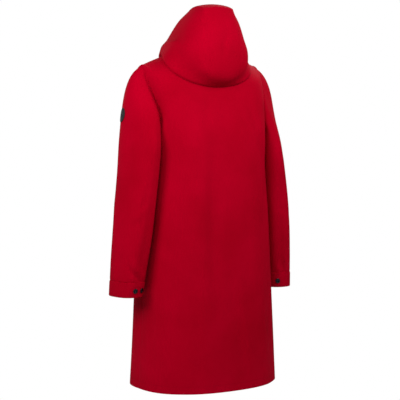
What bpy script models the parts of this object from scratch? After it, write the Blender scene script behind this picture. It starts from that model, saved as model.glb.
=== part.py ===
"""A knee-length hooded waterproof coat, hollow and filled out as if worn, with the hood up.

Metres, +Z up. The wearer would face -Y, so +Y is the back, and +X is the wearer's left.
The origin is the middle of the neck's base, level with the shoulders' tops, where the wearer carries the coat.

The cloth is cut as a maker cuts it: a back in one piece, two fronts, two set-in sleeves with cuff bands, a hood of
two sides and a centre strip, and a zip down the front. Each piece is a wall of cloth 2 mm thick with its own object.
A surface is worked out from a short table, one row for each ring of the garment, and each wall is that surface
and the same surface moved in by the cloth's thickness.
"""

import math

import bmesh
import bpy
import numpy as np
from mathutils import Matrix, Vector

# ---------------------------------------------------------------- driving sizes, metres and degrees
CLOTH = 0.002  # thickness of the bonded cloth
SEAM_GAP = 0.0003  # room between neighbouring pieces
DEG = math.pi / 180

# The body's cloth, a row for each ring from the neck edge to the hem. Heights at the back, the sides and the front,
# half the width, where the middle, the back and the front lie along Y, and how square the ring is (2 is an ellipse).
BODY_COLUMNS = ("z_back", "z_side", "z_front", "half", "y_mid", "y_back", "y_front", "square")
BODY_ROWS = (
    (0.026, 0.020, -0.055, 0.080, 0.000, 0.062, -0.088, 2.00),  # neck edge
    (0.000, 0.009, -0.075, 0.112, 0.000, 0.079, -0.105, 2.05),
    (-0.035, -0.003, -0.100, 0.148, 0.002, 0.094, -0.118, 2.20),
    (-0.075, -0.016, -0.130, 0.184, 0.004, 0.107, -0.128, 2.40),
    (-0.100, -0.0245, -0.150, 0.1985, 0.006, 0.114, -0.132, 2.50),  # shoulder point
    (-0.135, -0.075, -0.175, 0.2035, 0.010, 0.124, -0.136, 2.65),
    (-0.175, -0.140, -0.205, 0.1995, 0.012, 0.134, -0.139, 2.80),
    (-0.225, -0.215, -0.235, 0.187, 0.015, 0.144, -0.141, 3.00),  # underarm
    (-0.290, -0.285, -0.295, 0.178, 0.016, 0.151, -0.140, 3.10),
    (-0.370, -0.367, -0.370, 0.179, 0.017, 0.156, -0.138, 3.10),
    (-0.470, -0.468, -0.470, 0.185, 0.018, 0.160, -0.135, 3.10),
    (-0.580, -0.579, -0.580, 0.193, 0.019, 0.164, -0.132, 3.00),
    (-0.690, -0.690, -0.690, 0.201, 0.020, 0.168, -0.131, 2.80),
    (-0.820, -0.820, -0.820, 0.210, 0.020, 0.173, -0.133, 2.65),
    (-0.950, -0.945, -0.943, 0.219, 0.019, 0.177, -0.136, 2.55),  # hem
)
# The largest soft folds of the body: the angle round it, the half width in degrees, the rows between which it lies,
# how far it stands out (valleys are negative) and how many degrees it leans towards +X for each row down.
BODY_FOLDS = (
    (11.0, 9.0, 5.6, 12.5, -0.0034, 0.3),
    (-19.0, 11.0, 6.2, 13.0, 0.0022, -0.5),
    (37.0, 8.0, 9.5, 16.0, -0.0026, 0.8),
    (-43.0, 8.0, 9.0, 16.0, -0.0030, -0.9),
    (-60.0, 8.0, 9.8, 16.5, 0.0024, -0.6),
    (122.0, 13.0, 7.8, 16.0, -0.0034, 0.7),
    (150.0, 10.0, 8.6, 16.5, 0.0028, 0.5),
    (-118.0, 11.0, 8.2, 16.0, -0.0030, -1.0),
    (-146.0, 12.0, 9.0, 16.5, 0.0030, -0.5),
)
# The right shoulder sits a little lower and nearer than the left: soft pushes, each a centre, a reach and a movement.
PUSHES = (
    ((-0.205, 0.060, -0.020), 0.090, (0.0060, -0.0050, -0.0095)),
    ((-0.255, 0.080, -0.150), 0.080, (0.0075, -0.0060, 0.0)),
    ((-0.255, 0.020, -0.680), 0.130, (0.0, 0.0, -0.0095)),
)
NECK_ROW = 0
SHOULDER_ROW = 4
UNDERARM_ROW = 7
HEM_ROW = len(BODY_ROWS) - 1

ARMHOLE_BITE_BACK = 34.5  # how far round each armhole cuts into the back and the front
ARMHOLE_BITE_FRONT = 37.0
ARMHOLE_SKEW = 1.5  # puts the deepest place of the cut below its middle
ARMHOLE_ROUND_TOP = 0.75  # how full the cut is above its deepest place and below it
ARMHOLE_ROUND_UNDER = 1.1
STEADY_BACK = 50.0  # the angle up to which the back's columns run straight down, and the same on the fronts
STEADY_FRONT = 132.0
EDGE_COLUMNS = 4  # columns between there and the armhole and side seam
ROWS_ABOVE = 5  # from the neck edge to the shoulder point
ROWS_BELOW = 12  # from the underarm to the hem

# A sleeve below the armhole, a row for each ring: height, centre, half the thickness across the arm, how far it
# reaches back and forward of the centre, its turn about the upright and how square it is.
SLEEVE_COLUMNS = ("z", "x", "y", "half", "back", "front", "turn", "square")
SLEEVE_ROWS = (
    (-0.262, 0.2225, 0.018, 0.0360, 0.091, 0.058, 14.0, 2.4),
    (-0.330, 0.2270, 0.020, 0.0390, 0.089, 0.058, 12.0, 2.4),
    (-0.420, 0.2350, 0.021, 0.0425, 0.084, 0.057, 11.0, 2.4),
    (-0.500, 0.2415, 0.021, 0.0430, 0.079, 0.055, 10.5, 2.4),
    (-0.575, 0.2478, 0.019, 0.0425, 0.070, 0.053, 9.5, 2.4),
    (-0.636, 0.2525, 0.017, 0.0415, 0.062, 0.050, 8.0, 2.4),  # cuff seam
)
SLEEVE_TOP_STEPS = 8
SLEEVE_STEPS = 13
SLEEVE_PULL = 0.90  # how strongly the sleeve leaves the armhole in its own direction
LEAVE_OUT = 0.30  # that direction: outwards, and how much more at the shoulder and less behind it
LEAVE_OUT_TOP = 0.62
LEAVE_OUT_REAR = -0.45
LEAVE_ALONG = 0.08  # towards the back behind the arm and towards the front before it
LEAVE_DOWN = 0.84  # downwards, and how much less at the shoulder
LEAVE_DOWN_TOP = -0.48
ARMHOLE_BLEND = 0.3  # how far down the sleeve's wall leans to the body's
ARMHOLE_GAPS = 2.0  # the armhole seam's room, in seam gaps

CUFF_HEIGHT = 0.044
CUFF_PROUD = 0.0012  # the band stands this far out of the sleeve
CUFF_STEPS = 3

# The hood above its lower fold, a row for each ring, as on the body, with the angle where its face edge lies.
HOOD_COLUMNS = ("z_back", "z_side", "z_front", "half", "y_mid", "y_back", "y_front", "square", "face")
HOOD_ROWS = (
    (-0.057, 0.029, -0.022, 0.123, 0.038, 0.142, -0.110, 2.40, 159.0),
    (-0.014, 0.045, 0.010, 0.116, 0.040, 0.149, -0.104, 2.45, 139.0),
    (0.045, 0.060, 0.050, 0.101, 0.045, 0.144, -0.078, 2.50, 124.0),
    (0.100, 0.103, 0.100, 0.081, 0.055, 0.133, -0.049, 2.50, 116.0),
)
HOOD_CROWN_Z_BACK = 0.139  # the seam beside the centre strip, over the crown
HOOD_CROWN_Z_MID = 0.147
HOOD_CROWN_Z_FACE = 0.131
HOOD_CROWN_Y_BACK = 0.104
HOOD_CROWN_Y_FACE = 0.019
HOOD_STRIP_HALF = 0.050  # half the centre strip's width
HOOD_STRIP_RISE = 0.006  # how far its middle stands above its seams
HOOD_FOLD_BACK_ROW = 3.35  # where the hood's lower fold lies on the body, in rows of the body's table
HOOD_FOLD_FRONT_ROW = 0.15
HOOD_FOLD_FALL = 1.5
HOOD_EDGE_ROWS = ((1.00, 0.0022), (0.97, 0.0085))  # the lower edge: which part of the fold's row, and how far out
HOOD_STEPS = (2, 3, 3, 3, 3, 4)  # from each level to the next, from the lower edge to the crown

BACK_COLUMNS = 16
FRONT_COLUMNS = 8
SLEEVE_SIDES = 12  # round each half of a sleeve
SLEEVE_CROWD = 0.2  # how much closer they stand at the shoulder and the underarm
HOOD_COLUMNS_ACROSS = 12
STRIP_COLUMNS = 8

# The zip down the centre front. Its slider sits near the top with the pull hanging down the front.
ZIP_OPEN_HALF = 0.0040  # half the slot between the fronts, where the teeth show
ZIP_TEETH_HALF = 0.0030
ZIP_TAPE_HALF = 0.0140
ZIP_TAPE = 0.0010
SLIDER_ROW = 1.9
SLIDER_LIFT = 0.0006
SLIDER_WIDTH = 0.0090
SLIDER_LENGTH = 0.0130
SLIDER_PLATE = 0.0020
SLIDER_EDGE = 0.0007  # the bevel of its edges
ARCH_WIDTH = 0.0024
ARCH_LENGTH = 0.0080
ARCH_WALL = 0.0012
ARCH_ROOM = 0.0028
ARCH_SUNK = 0.0008  # how deep the arch's feet stand in the plate
ARCH_EDGE = 0.0004
PULL_BAR_RADIUS = 0.0008
PULL_AXIS_OUT = SLIDER_LIFT + SLIDER_PLATE + ARCH_ROOM / 2
PULL_WIDTH = 0.0066
PULL_LENGTH = 0.0300
PULL_THICKNESS = 0.0014
PULL_HOLE_WIDTH = 0.0036
PULL_HOLE_LENGTH = 0.0052
PULL_EDGE = 0.0004
CUTTER_BEYOND = 0.0020  # how far a cutter stands out of what it cuts

SNAP_RADIUS = 0.0074
SNAP_HEIGHT = 0.0027
SNAP_DOWN = 0.55  # how far down the cuff, as a share of its height
SNAP_PLACES = ((1, 1, 78.0), (1, 2, 110.0), (-1, 1, 111.0), (-1, 2, 147.0))

BADGE_RADIUS = 0.0190
BADGE_THICKNESS = 0.0014
BADGE_ANGLE = -24.0
BADGE_DOWN = 0.61
BADGE_SPOKES = 28
BADGE_RINGS = 3

CLOTH_RED = (0.42, 0.003, 0.018, 1.0)
GUNMETAL = (0.06, 0.06, 0.065, 1.0)
BADGE_DARK = (0.02, 0.02, 0.022, 1.0)


# ---------------------------------------------------------------- tables and rings
def read_table(columns, rows):
    """A table's columns as arrays by name."""
    return dict(zip(columns, np.array(rows, float).T))


def between_rows(values, row):
    """Value at a fractional row: a cubic through the rows, whose slope at each is taken from its two neighbours."""
    row = np.clip(np.asarray(row, float), 0, len(values) - 1)
    slopes = np.gradient(values)
    low = np.minimum(row.astype(int), len(values) - 2)
    t = row - low
    return (
        values[low] * (2 * t**3 - 3 * t**2 + 1)
        + slopes[low] * (t**3 - 2 * t**2 + t)
        + values[low + 1] * (3 * t**2 - 2 * t**3)
        + slopes[low + 1] * (t**3 - t**2)
    )


def ring_point(ring, angle):
    """Point of a superellipse ring at an angle from the back (+Y) towards +X, with its height eased round it."""
    s, c = np.sin(angle), np.cos(angle)
    reach = (np.abs(s) ** ring["square"] + np.abs(c) ** ring["square"]) ** (-1 / ring["square"])
    depth = np.where(c > 0, ring["y_back"] - ring["y_mid"], ring["y_mid"] - ring["y_front"])
    ends = np.where(c > 0, ring["z_back"], ring["z_front"])
    z = ring["z_side"] + (ends - ring["z_side"]) * np.abs(c) ** 1.5
    return np.stack([ring["half"] * reach * s, ring["y_mid"] + depth * reach * c, z], -1)


def normal_of(surface, a, b, step=1e-3):
    """Unit normal of surface(a, b), from the cross product of its slopes along a and b."""
    along_a = surface(a + step, b) - surface(a - step, b)
    along_b = surface(a, b + step) - surface(a, b - step)
    n = np.cross(along_a, along_b)
    return n / np.linalg.norm(n, axis=-1, keepdims=True)


# ---------------------------------------------------------------- the body
BODY = read_table(BODY_COLUMNS, BODY_ROWS)


def body_surface(angle, row):
    """Outer face of the body's cloth, at an angle round the wearer and a row of the body's table."""
    angle, row = np.broadcast_arrays(np.asarray(angle, float), np.asarray(row, float))
    ring = {name: between_rows(values, row) for name, values in BODY.items()}
    out = fold_height(angle, row)
    outward = np.stack([np.sin(angle), np.cos(angle), 0 * angle], -1)
    return ring_point(ring, angle) + outward * out[..., None]


def fold_height(angle, row):
    """How far the body's folds stand out: each is a bell across its width and along its rows."""
    out = np.zeros_like(angle)
    for fold in BODY_FOLDS:
        middle, width, start, end, height, lean = fold
        along = (row - start) / (end - start)
        centre = (middle + lean * (row - start)) * DEG
        away = np.mod(angle - centre + math.pi, 2 * math.pi) - math.pi
        bell = np.sin(math.pi * np.clip(along, 0, 1)) ** 2
        out = out + height * bell * np.exp(-((away / (width * DEG)) ** 2))
    return out


def body_point(angle, row, out=0.0):
    """Point of the body's cloth, moved out from its outer face."""
    angle, row = np.broadcast_arrays(np.asarray(angle, float), np.asarray(row, float))
    return body_surface(angle, row) + normal_of(body_surface, angle, row) * np.asarray(out)[..., None]


def armhole_row(turn):
    """Row of the armhole's edge at a turn from 0, the shoulder point, to pi, the underarm."""
    middle, reach = (UNDERARM_ROW + SHOULDER_ROW) / 2, (UNDERARM_ROW - SHOULDER_ROW) / 2
    return middle - reach * np.cos(turn)


def armhole_bite(turn, deepest):
    """How far round the armhole cuts at that turn: a sine, pushed down and made fuller by the named powers."""
    pushed = math.pi * (np.clip(turn / math.pi, 0, 1)) ** ARMHOLE_SKEW
    fullness = np.where(pushed < math.pi / 2, ARMHOLE_ROUND_TOP, ARMHOLE_ROUND_UNDER)
    return deepest * DEG * np.clip(np.sin(pushed), 0, 1) ** fullness


def seam_turns():
    """The turns round the armhole at which both the panels and the sleeve have points."""
    even = np.linspace(0, 1, SLEEVE_SIDES + 1)
    return math.pi * (even - SLEEVE_CROWD * np.sin(2 * math.pi * even) / (2 * math.pi))


def sleeve_angles():
    """The angles round a sleeve at which its wall has points, each once."""
    turns = seam_turns()
    return np.concatenate([turns, 2 * math.pi - turns[-2:0:-1]])


def panel_rows():
    """Rows of a body panel's grid with the turn round the armhole, which is 0 above it and pi below."""
    above = [(row, 0.0) for row in np.linspace(NECK_ROW, SHOULDER_ROW, ROWS_ABOVE + 1)[:-1]]
    beside = [(armhole_row(t), t) for t in seam_turns()]
    below = [(row, math.pi) for row in np.linspace(UNDERARM_ROW, HEM_ROW, ROWS_BELOW + 1)[1:]]
    return np.array(above + beside + below)


def pushed(points):
    """Points moved by the soft pushes: each movement times exp(-(distance from the centre / reach) squared)."""
    moved = points.copy()
    for centre, reach, movement in PUSHES:
        distance = np.linalg.norm(points - np.array(centre), axis=-1, keepdims=True)
        moved += np.exp(-((distance / reach) ** 2)) * np.array(movement)
    return moved


def wall_from_grid(name, outer, inner, closed=False):
    """A closed wall between an outer and an inner grid of points. closed joins its last column to its first.

    Each cell is cut along its shorter diagonal, the same one on both faces, so the wall keeps its thickness.
    """
    outer, inner = pushed(outer), pushed(inner)
    rows, columns = outer.shape[:2]
    mesh = bpy.data.meshes.new(name)
    index = np.arange(rows * columns).reshape(rows, columns)
    if closed:
        index = np.concatenate([index, index[:, :1]], 1)
    a, b, c, d = index[:-1, :-1], index[:-1, 1:], index[1:, 1:], index[1:, :-1]
    shift = rows * columns
    corners = np.concatenate([outer.reshape(-1, 3)[i][..., None, :] for i in (a, b, c, d)], -2)
    straight = np.linalg.norm(corners[..., 0, :] - corners[..., 2, :], axis=-1)
    slanted = np.linalg.norm(corners[..., 1, :] - corners[..., 3, :], axis=-1)
    first = np.where((straight <= slanted)[..., None], np.stack([a, b, c], -1), np.stack([a, b, d], -1))
    second = np.where((straight <= slanted)[..., None], np.stack([a, c, d], -1), np.stack([b, c, d], -1))
    halves = np.concatenate([first.reshape(-1, 3), second.reshape(-1, 3)])
    faces = halves.tolist() + (halves[:, ::-1] + shift).tolist()
    edges = [index[0, ::-1], index[-1]]
    if not closed:
        edges += [index[:, 0], index[::-1, -1]]
    for edge in edges:
        faces += np.stack([edge[1:], edge[:-1], edge[:-1] + shift, edge[1:] + shift], -1).tolist()
    points = np.concatenate([outer.reshape(-1, 3), inner.reshape(-1, 3)])
    mesh.from_pydata(points.tolist(), [], faces)
    return finish_mesh(name, mesh)


def finish_mesh(name, mesh):
    """Puts a mesh in the scene as an object of its own, with its normals facing out."""
    bm = bmesh.new()
    bm.from_mesh(mesh)
    bmesh.ops.remove_doubles(bm, verts=bm.verts, dist=1e-6)
    bmesh.ops.recalc_face_normals(bm, faces=bm.faces)
    if bm.calc_volume(signed=True) < 0:
        bmesh.ops.reverse_faces(bm, faces=bm.faces)
    bm.to_mesh(mesh)
    bm.free()
    mesh.shade_smooth()
    mesh.set_sharp_from_angle(angle=40 * DEG)
    thing = bpy.data.objects.new(name, mesh)
    collection().objects.link(thing)
    return thing


def collection():
    """The collection that holds the coat."""
    found = bpy.data.collections.get("waterproof_coat")
    if not found:
        found = bpy.data.collections.new("waterproof_coat")
        bpy.context.scene.collection.children.link(found)
    return found


def body_panel(name, angle, row):
    """A wall of the body's cloth on a grid of angles, a line of them for each row."""
    grid_row = np.repeat(row[:, None], angle.shape[1], 1)
    return wall_from_grid(name, body_point(angle, grid_row), body_point(angle, grid_row, -CLOTH))


def spread(start, end, steps):
    """Angles from one edge to another at each row, in even steps. Either edge may be one number for all rows."""
    start, end = np.broadcast_arrays(start, end)
    return start[:, None] + (end - start)[:, None] * np.linspace(0, 1, steps + 1)


def gap_angle(row, gap=SEAM_GAP):
    """The angle that a gap takes up at the side of a row."""
    return gap / between_rows(BODY["half"], row)


def body_panels():
    """The back and the two fronts, cut apart at the shoulder and side seams and at the armholes.

    The inner columns run straight down at steady angles; only those near the edge follow the armhole.
    """
    rows = panel_rows()
    row, turn = rows[:, 0], rows[:, 1]
    side_seam = 90 * DEG
    back_edge = side_seam - armhole_bite(turn, ARMHOLE_BITE_BACK) - gap_angle(row)
    front_edge = side_seam + armhole_bite(turn, ARMHOLE_BITE_FRONT) + gap_angle(row)
    zip_edge = math.pi - ZIP_OPEN_HALF / between_rows(BODY["half"], row)

    steady = STEADY_BACK * DEG
    half_back = spread(steady, back_edge, EDGE_COLUMNS)[:, 1:]
    middle = spread(np.full_like(row, -steady), steady, BACK_COLUMNS)
    body_panel("back", np.concatenate([-half_back[:, ::-1], middle, half_back], 1), row)

    steady = STEADY_FRONT * DEG
    front = np.concatenate(
        [spread(front_edge, steady, EDGE_COLUMNS)[:, :-1], spread(steady, zip_edge, FRONT_COLUMNS)], 1
    )
    body_panel("front_left", front, row)
    body_panel("front_right", -front, row)


# ---------------------------------------------------------------- the sleeves
SLEEVE = read_table(SLEEVE_COLUMNS, SLEEVE_ROWS)


def sleeve_ring(angle, row):
    """Outer face of the left sleeve below its top, at an angle from the outside (+X) over the back (+Y)."""
    ring = {name: between_rows(values, row) for name, values in SLEEVE.items()}
    s, c = np.sin(angle), np.cos(angle)
    reach = (np.abs(s) ** ring["square"] + np.abs(c) ** ring["square"]) ** (-1 / ring["square"])
    across = ring["half"] * reach * c
    depth = np.where(s > 0, ring["back"], ring["front"]) * reach * s
    turn = ring["turn"] * DEG
    x = ring["x"] + across * np.cos(turn) - depth * np.sin(turn)
    y = ring["y"] + across * np.sin(turn) + depth * np.cos(turn)
    return np.stack([x, y, ring["z"] + 0 * x], -1)


def armhole_loop(angle):
    """Angle and row on the body of the armhole's edge, at an angle round the sleeve."""
    turn = np.where(angle <= math.pi, angle, 2 * math.pi - angle)
    back = 90 * DEG - armhole_bite(turn, ARMHOLE_BITE_BACK)
    front = 90 * DEG + armhole_bite(turn, ARMHOLE_BITE_FRONT)
    return np.where(angle <= math.pi, back, front), armhole_row(turn)


def sleeve_surface(angle, down):
    """Outer face of the left sleeve: down runs from 0 at the armhole to 1 at the first ring, then a row at a time."""
    angle, down = np.broadcast_arrays(np.asarray(angle, float), np.asarray(down, float))
    wrapped = np.mod(angle, 2 * math.pi)
    start = body_surface(*armhole_loop(wrapped))
    below = sleeve_ring(wrapped, np.maximum(down - 1, 0))
    first = sleeve_ring(wrapped, np.zeros_like(down))
    run = np.linalg.norm(first - start, axis=-1, keepdims=True)
    c, s = np.cos(wrapped), np.sin(wrapped)
    top = np.clip(c, 0, 1)
    rear = np.clip(s, 0, 1)
    leave_out = LEAVE_OUT + LEAVE_OUT_TOP * top**3 + LEAVE_OUT_REAR * rear * top
    leave = np.stack([leave_out, LEAVE_ALONG * s, -LEAVE_DOWN - LEAVE_DOWN_TOP * top**2], -1)
    leave /= np.linalg.norm(leave, axis=-1, keepdims=True)
    arrive = sleeve_ring(wrapped, np.full_like(down, 0.1)) - first
    arrive /= np.linalg.norm(arrive, axis=-1, keepdims=True)
    t = np.clip(down, 0, 1)[..., None]
    joined = (
        start * (2 * t**3 - 3 * t**2 + 1)
        + leave * run * SLEEVE_PULL * (t**3 - 2 * t**2 + t)
        + first * (3 * t**2 - 2 * t**3)
        + arrive * run * (t**3 - t**2)
    )
    return np.where(down[..., None] < 1, joined, below)


def sleeve_normal(angle, down):
    """Normals of the sleeve's outer face. At the armhole they lean to the body's own, where the two walls meet."""
    own = -normal_of(sleeve_surface, angle, np.maximum(down, 2e-3))
    body = normal_of(body_surface, *armhole_loop(np.mod(angle, 2 * math.pi)))
    alike = np.clip((own * body).sum(-1, keepdims=True), 0, 1)
    lean = alike * np.clip(1 - down / ARMHOLE_BLEND, 0, 1)[..., None]
    mixed = own * (1 - lean) + body * lean
    return mixed / np.linalg.norm(mixed, axis=-1, keepdims=True)


def sleeve_wall(side):
    """A set-in sleeve down to its cuff seam. side is 1 for the wearer's left and -1 for the right."""
    angle = sleeve_angles()
    last = len(SLEEVE_ROWS)
    top = np.linspace(0, 1, SLEEVE_TOP_STEPS + 1)
    grid_angle, grid_down = np.meshgrid(angle, np.concatenate([top, np.linspace(1, last, SLEEVE_STEPS + 1)[1:]]))
    outer = sleeve_surface(grid_angle, grid_down)
    inner = outer - sleeve_normal(grid_angle, grid_down) * CLOTH
    away = outer[1] - outer[0]
    away *= SEAM_GAP * ARMHOLE_GAPS / np.linalg.norm(away, axis=-1, keepdims=True)
    outer[0] += away
    inner[0] += away
    return wall_from_grid("sleeve_" + side_name(side), mirrored(outer, side), mirrored(inner, side), closed=True)


def mirrored(points, side):
    """The left side's points, or their mirror image for the right."""
    return points * np.array([side, 1, 1])


def side_name(side):
    return "left" if side > 0 else "right"


# ---------------------------------------------------------------- the cuffs
def cuff_band(side):
    """The band below the sleeve: the sleeve's own last ring, carried straight down and set a little out."""
    drop = np.linspace(SEAM_GAP, CUFF_HEIGHT, CUFF_STEPS + 1)
    grid_angle, grid_drop = np.meshgrid(sleeve_angles(), drop)
    outer = mirrored(cuff_point(grid_angle, grid_drop, CUFF_PROUD), side)
    inner = mirrored(cuff_point(grid_angle, grid_drop, -CLOTH), side)
    return wall_from_grid("cuff_" + side_name(side), outer, inner, closed=True)


def cuff_point(angle, drop, out=0.0):
    """Point of the left cuff, so far below the cuff seam and moved out across the sleeve."""
    last = np.full(np.shape(angle), float(len(SLEEVE_ROWS) - 1))
    step = 0.05
    ring = sleeve_ring(angle, last)
    slope = (ring - sleeve_ring(angle, last - step)) / (ring[..., 2:] - sleeve_ring(angle, last - step)[..., 2:])
    ahead = sleeve_ring(angle + 1e-3, last) - sleeve_ring(angle - 1e-3, last)
    outward = np.stack([ahead[..., 1], -ahead[..., 0], 0 * ahead[..., 0]], -1)
    outward /= np.linalg.norm(outward, axis=-1, keepdims=True)
    return ring - slope * np.asarray(drop)[..., None] + outward * out


# ---------------------------------------------------------------- the hood
HOOD = read_table(HOOD_COLUMNS, HOOD_ROWS)


def hood_fold_row(angle):
    """Row of the body on which the hood's lower fold lies: low at the back, near the neck edge at the front."""
    return HOOD_FOLD_FRONT_ROW + (HOOD_FOLD_BACK_ROW - HOOD_FOLD_FRONT_ROW) * (
        (1 + np.cos(angle)) / 2
    ) ** HOOD_FOLD_FALL


def hood_levels(share, across):
    """The hood's outer face at each level, for one column of it.

    share runs from 0 at the seam beside the centre strip to 1 at the face edge. across, where it is given instead,
    runs over the strip from -1 to 1. The first levels are the lower edge: the body's own points, moved out. The
    next are the rings of the hood's table; the last is the seam over the crown.
    """
    levels = []
    for row in range(len(HOOD_ROWS)):
        ring = {name: np.full(np.shape(share), values[row]) for name, values in HOOD.items()}
        seam = np.arcsin(HOOD_STRIP_HALF / ring["half"])
        angle = across * seam if across is not None else seam + (ring["face"] * DEG - seam) * share
        levels.append(ring_point(ring, angle))
        if row == 0:
            below = angle_below(angle)
    for part_of_fold, out in HOOD_EDGE_ROWS[::-1]:
        levels.insert(0, body_point(below, hood_fold_row(below) * part_of_fold, out))
    levels.append(crown_point(share * 0 if across is not None else share, 1.0 if across is None else across))
    return np.stack(levels)


def angle_below(ring_angle):
    """Angle round the body of the lower edge's point below a point of the hood's first ring, on the same spoke."""
    angle = np.linspace(0, math.pi, 181)
    at = body_surface(angle, hood_fold_row(angle))
    back = HOOD["y_back"][0] - HOOD["y_mid"][0]
    front = HOOD["y_mid"][0] - HOOD["y_front"][0]
    behind = at[:, 1] - HOOD["y_mid"][0]
    spoke = np.arctan2(at[:, 0] / HOOD["half"][0], behind / np.where(behind > 0, back, front))
    return np.sign(ring_angle) * np.interp(np.abs(ring_angle), spoke, angle)


def crown_point(share, across):
    """Point of the crown: share runs from its back corner to the face edge, across from -1 to 1 over the strip."""
    y = HOOD_CROWN_Y_BACK + (HOOD_CROWN_Y_FACE - HOOD_CROWN_Y_BACK) * share
    ends = HOOD_CROWN_Z_BACK + (HOOD_CROWN_Z_FACE - HOOD_CROWN_Z_BACK) * share
    rise = HOOD_CROWN_Z_MID - (HOOD_CROWN_Z_BACK + HOOD_CROWN_Z_FACE) / 2
    z = ends + rise * 4 * share * (1 - share)
    bow = HOOD_STRIP_RISE * (1 - across**2)
    tip = np.cos(share * math.pi)
    return np.stack([HOOD_STRIP_HALF * across + 0 * share, y + bow * tip, z + bow], -1)


def grid_from_levels(levels, finer):
    """A grid of points through the levels, with some steps from each to the next."""
    stations = []
    for low, steps in enumerate(finer):
        stations += list(low + np.arange(steps) / steps)
    stations.append(len(finer))
    stations = np.array(stations)
    flat = levels.reshape(len(levels), -1)
    return np.stack([between_rows(flat[:, k], stations) for k in range(flat.shape[1])], -1).reshape(
        (len(stations),) + levels.shape[1:]
    )


def grid_normals(grid):
    """Unit normals of a grid of points, by differences of its neighbours."""
    down = np.gradient(grid, axis=0)
    along = np.gradient(grid, axis=1)
    n = np.cross(down, along)
    return n / np.linalg.norm(n, axis=-1, keepdims=True)


def hood():
    """The hood's two sides and its centre strip."""
    share = np.linspace(0, 1, HOOD_COLUMNS_ACROSS + 1)
    side_grid = grid_from_levels(hood_levels(share, None), HOOD_STEPS)
    across = np.linspace(-1, 1, STRIP_COLUMNS + 1)
    lower = grid_from_levels(hood_levels(across * 0, across), HOOD_STEPS)
    upper = np.stack([crown_point(np.full_like(across, s), across) for s in share[1:]])
    strip = np.concatenate([lower, upper])
    side_normal, strip_normal = seam_normals(side_grid, strip)
    inner = side_grid - side_normal * CLOTH
    shift = np.array([SEAM_GAP, 0, 0])
    for side in (1, -1):
        name = "hood_" + side_name(side)
        wall_from_grid(name, mirrored(side_grid + shift, side), mirrored(inner + shift, side))
    inner = strip - strip_normal * CLOTH
    narrow = np.array([1 - SEAM_GAP / HOOD_STRIP_HALF, 1, 1])
    wall_from_grid("hood_centre", strip * narrow, inner * narrow)


def seam_normals(side_grid, strip):
    """Normals of the hood's side and of its strip, made the same along the seam that joins them."""
    side_normal, strip_normal = grid_normals(side_grid), grid_normals(strip)
    corner = len(side_grid) - 1
    up = side_normal[:, 0] + strip_normal[: corner + 1, -1]
    over = side_normal[-1] + strip_normal[corner:, -1]
    over[0] += up[-1]
    up[-1] = over[0]
    up /= np.linalg.norm(up, axis=-1, keepdims=True)
    over /= np.linalg.norm(over, axis=-1, keepdims=True)
    side_normal[:, 0], side_normal[-1] = up, over
    other_side = np.array([-1, 1, 1])
    strip_normal[: corner + 1, -1], strip_normal[corner:, -1] = up, over
    strip_normal[: corner + 1, 0], strip_normal[corner:, 0] = up * other_side, over * other_side
    return side_normal, strip_normal


# ---------------------------------------------------------------- the zip
def front_strip(name, half_width, out_near, out_far, columns):
    """A strip of cloth down the centre front, between two depths from the fronts' outer face."""
    row = panel_rows()[:, 0]
    across = np.linspace(-1, 1, columns + 1)
    angle = math.pi - half_width * across[None, :] / between_rows(BODY["half"], row)[:, None]
    grid_row = np.repeat(row[:, None], columns + 1, 1)
    return wall_from_grid(name, body_point(angle, grid_row, out_near), body_point(angle, grid_row, out_far))


def slider_frame():
    """Where the slider sits on the closed zip: X across, Y up the zip and Z out of the front, as a matrix."""
    at = body_point(math.pi, SLIDER_ROW)
    up = body_point(math.pi, SLIDER_ROW - 0.1) - body_point(math.pi, SLIDER_ROW + 0.1)
    up = Vector(up).normalized()
    out = Vector(body_point(math.pi, SLIDER_ROW, 1.0) - at).normalized()
    across = up.cross(out).normalized()
    frame = Matrix((across, up, out)).transposed().to_4x4()
    frame.translation = Vector(at)
    return frame


def box(name, low, high, frame, bevel=0.0):
    """A box from its low and high corners in a frame, with its edges rounded."""
    mesh = bpy.data.meshes.new(name)
    bm = bmesh.new()
    bmesh.ops.create_cube(bm, size=1)
    size = Vector(high) - Vector(low)
    middle = (Vector(high) + Vector(low)) / 2
    bmesh.ops.transform(bm, matrix=Matrix.Translation(middle) @ Matrix.Diagonal(size).to_4x4(), verts=bm.verts)
    if bevel:
        bmesh.ops.bevel(bm, geom=bm.edges, offset=bevel, segments=2, affect="EDGES", profile=0.5)
    bm.to_mesh(mesh)
    bm.free()
    thing = bpy.data.objects.new(name, mesh)
    thing.matrix_world = frame
    collection().objects.link(thing)
    return thing


def cylinder(name, radius, length, frame, sides=16):
    """A cylinder along the frame's X axis, about its origin."""
    mesh = bpy.data.meshes.new(name)
    bm = bmesh.new()
    bmesh.ops.create_cone(
        bm,
        cap_ends=True,
        segments=sides,
        radius1=radius,
        radius2=radius,
        depth=length,
        matrix=Matrix.Rotation(90 * DEG, 4, "Y"),
    )
    bm.to_mesh(mesh)
    bm.free()
    thing = bpy.data.objects.new(name, mesh)
    thing.matrix_world = frame
    collection().objects.link(thing)
    return thing


def combine(base, other, operation):
    """Joins another object to the base, or cuts it out, and removes it."""
    modifier = base.modifiers.new("combine", "BOOLEAN")
    modifier.operation = operation
    modifier.object = other
    bpy.context.view_layer.update()
    done = bpy.data.meshes.new_from_object(base.evaluated_get(bpy.context.evaluated_depsgraph_get()))
    base.modifiers.clear()
    base.data = done
    bpy.data.objects.remove(other, do_unlink=True)
    return base


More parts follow.
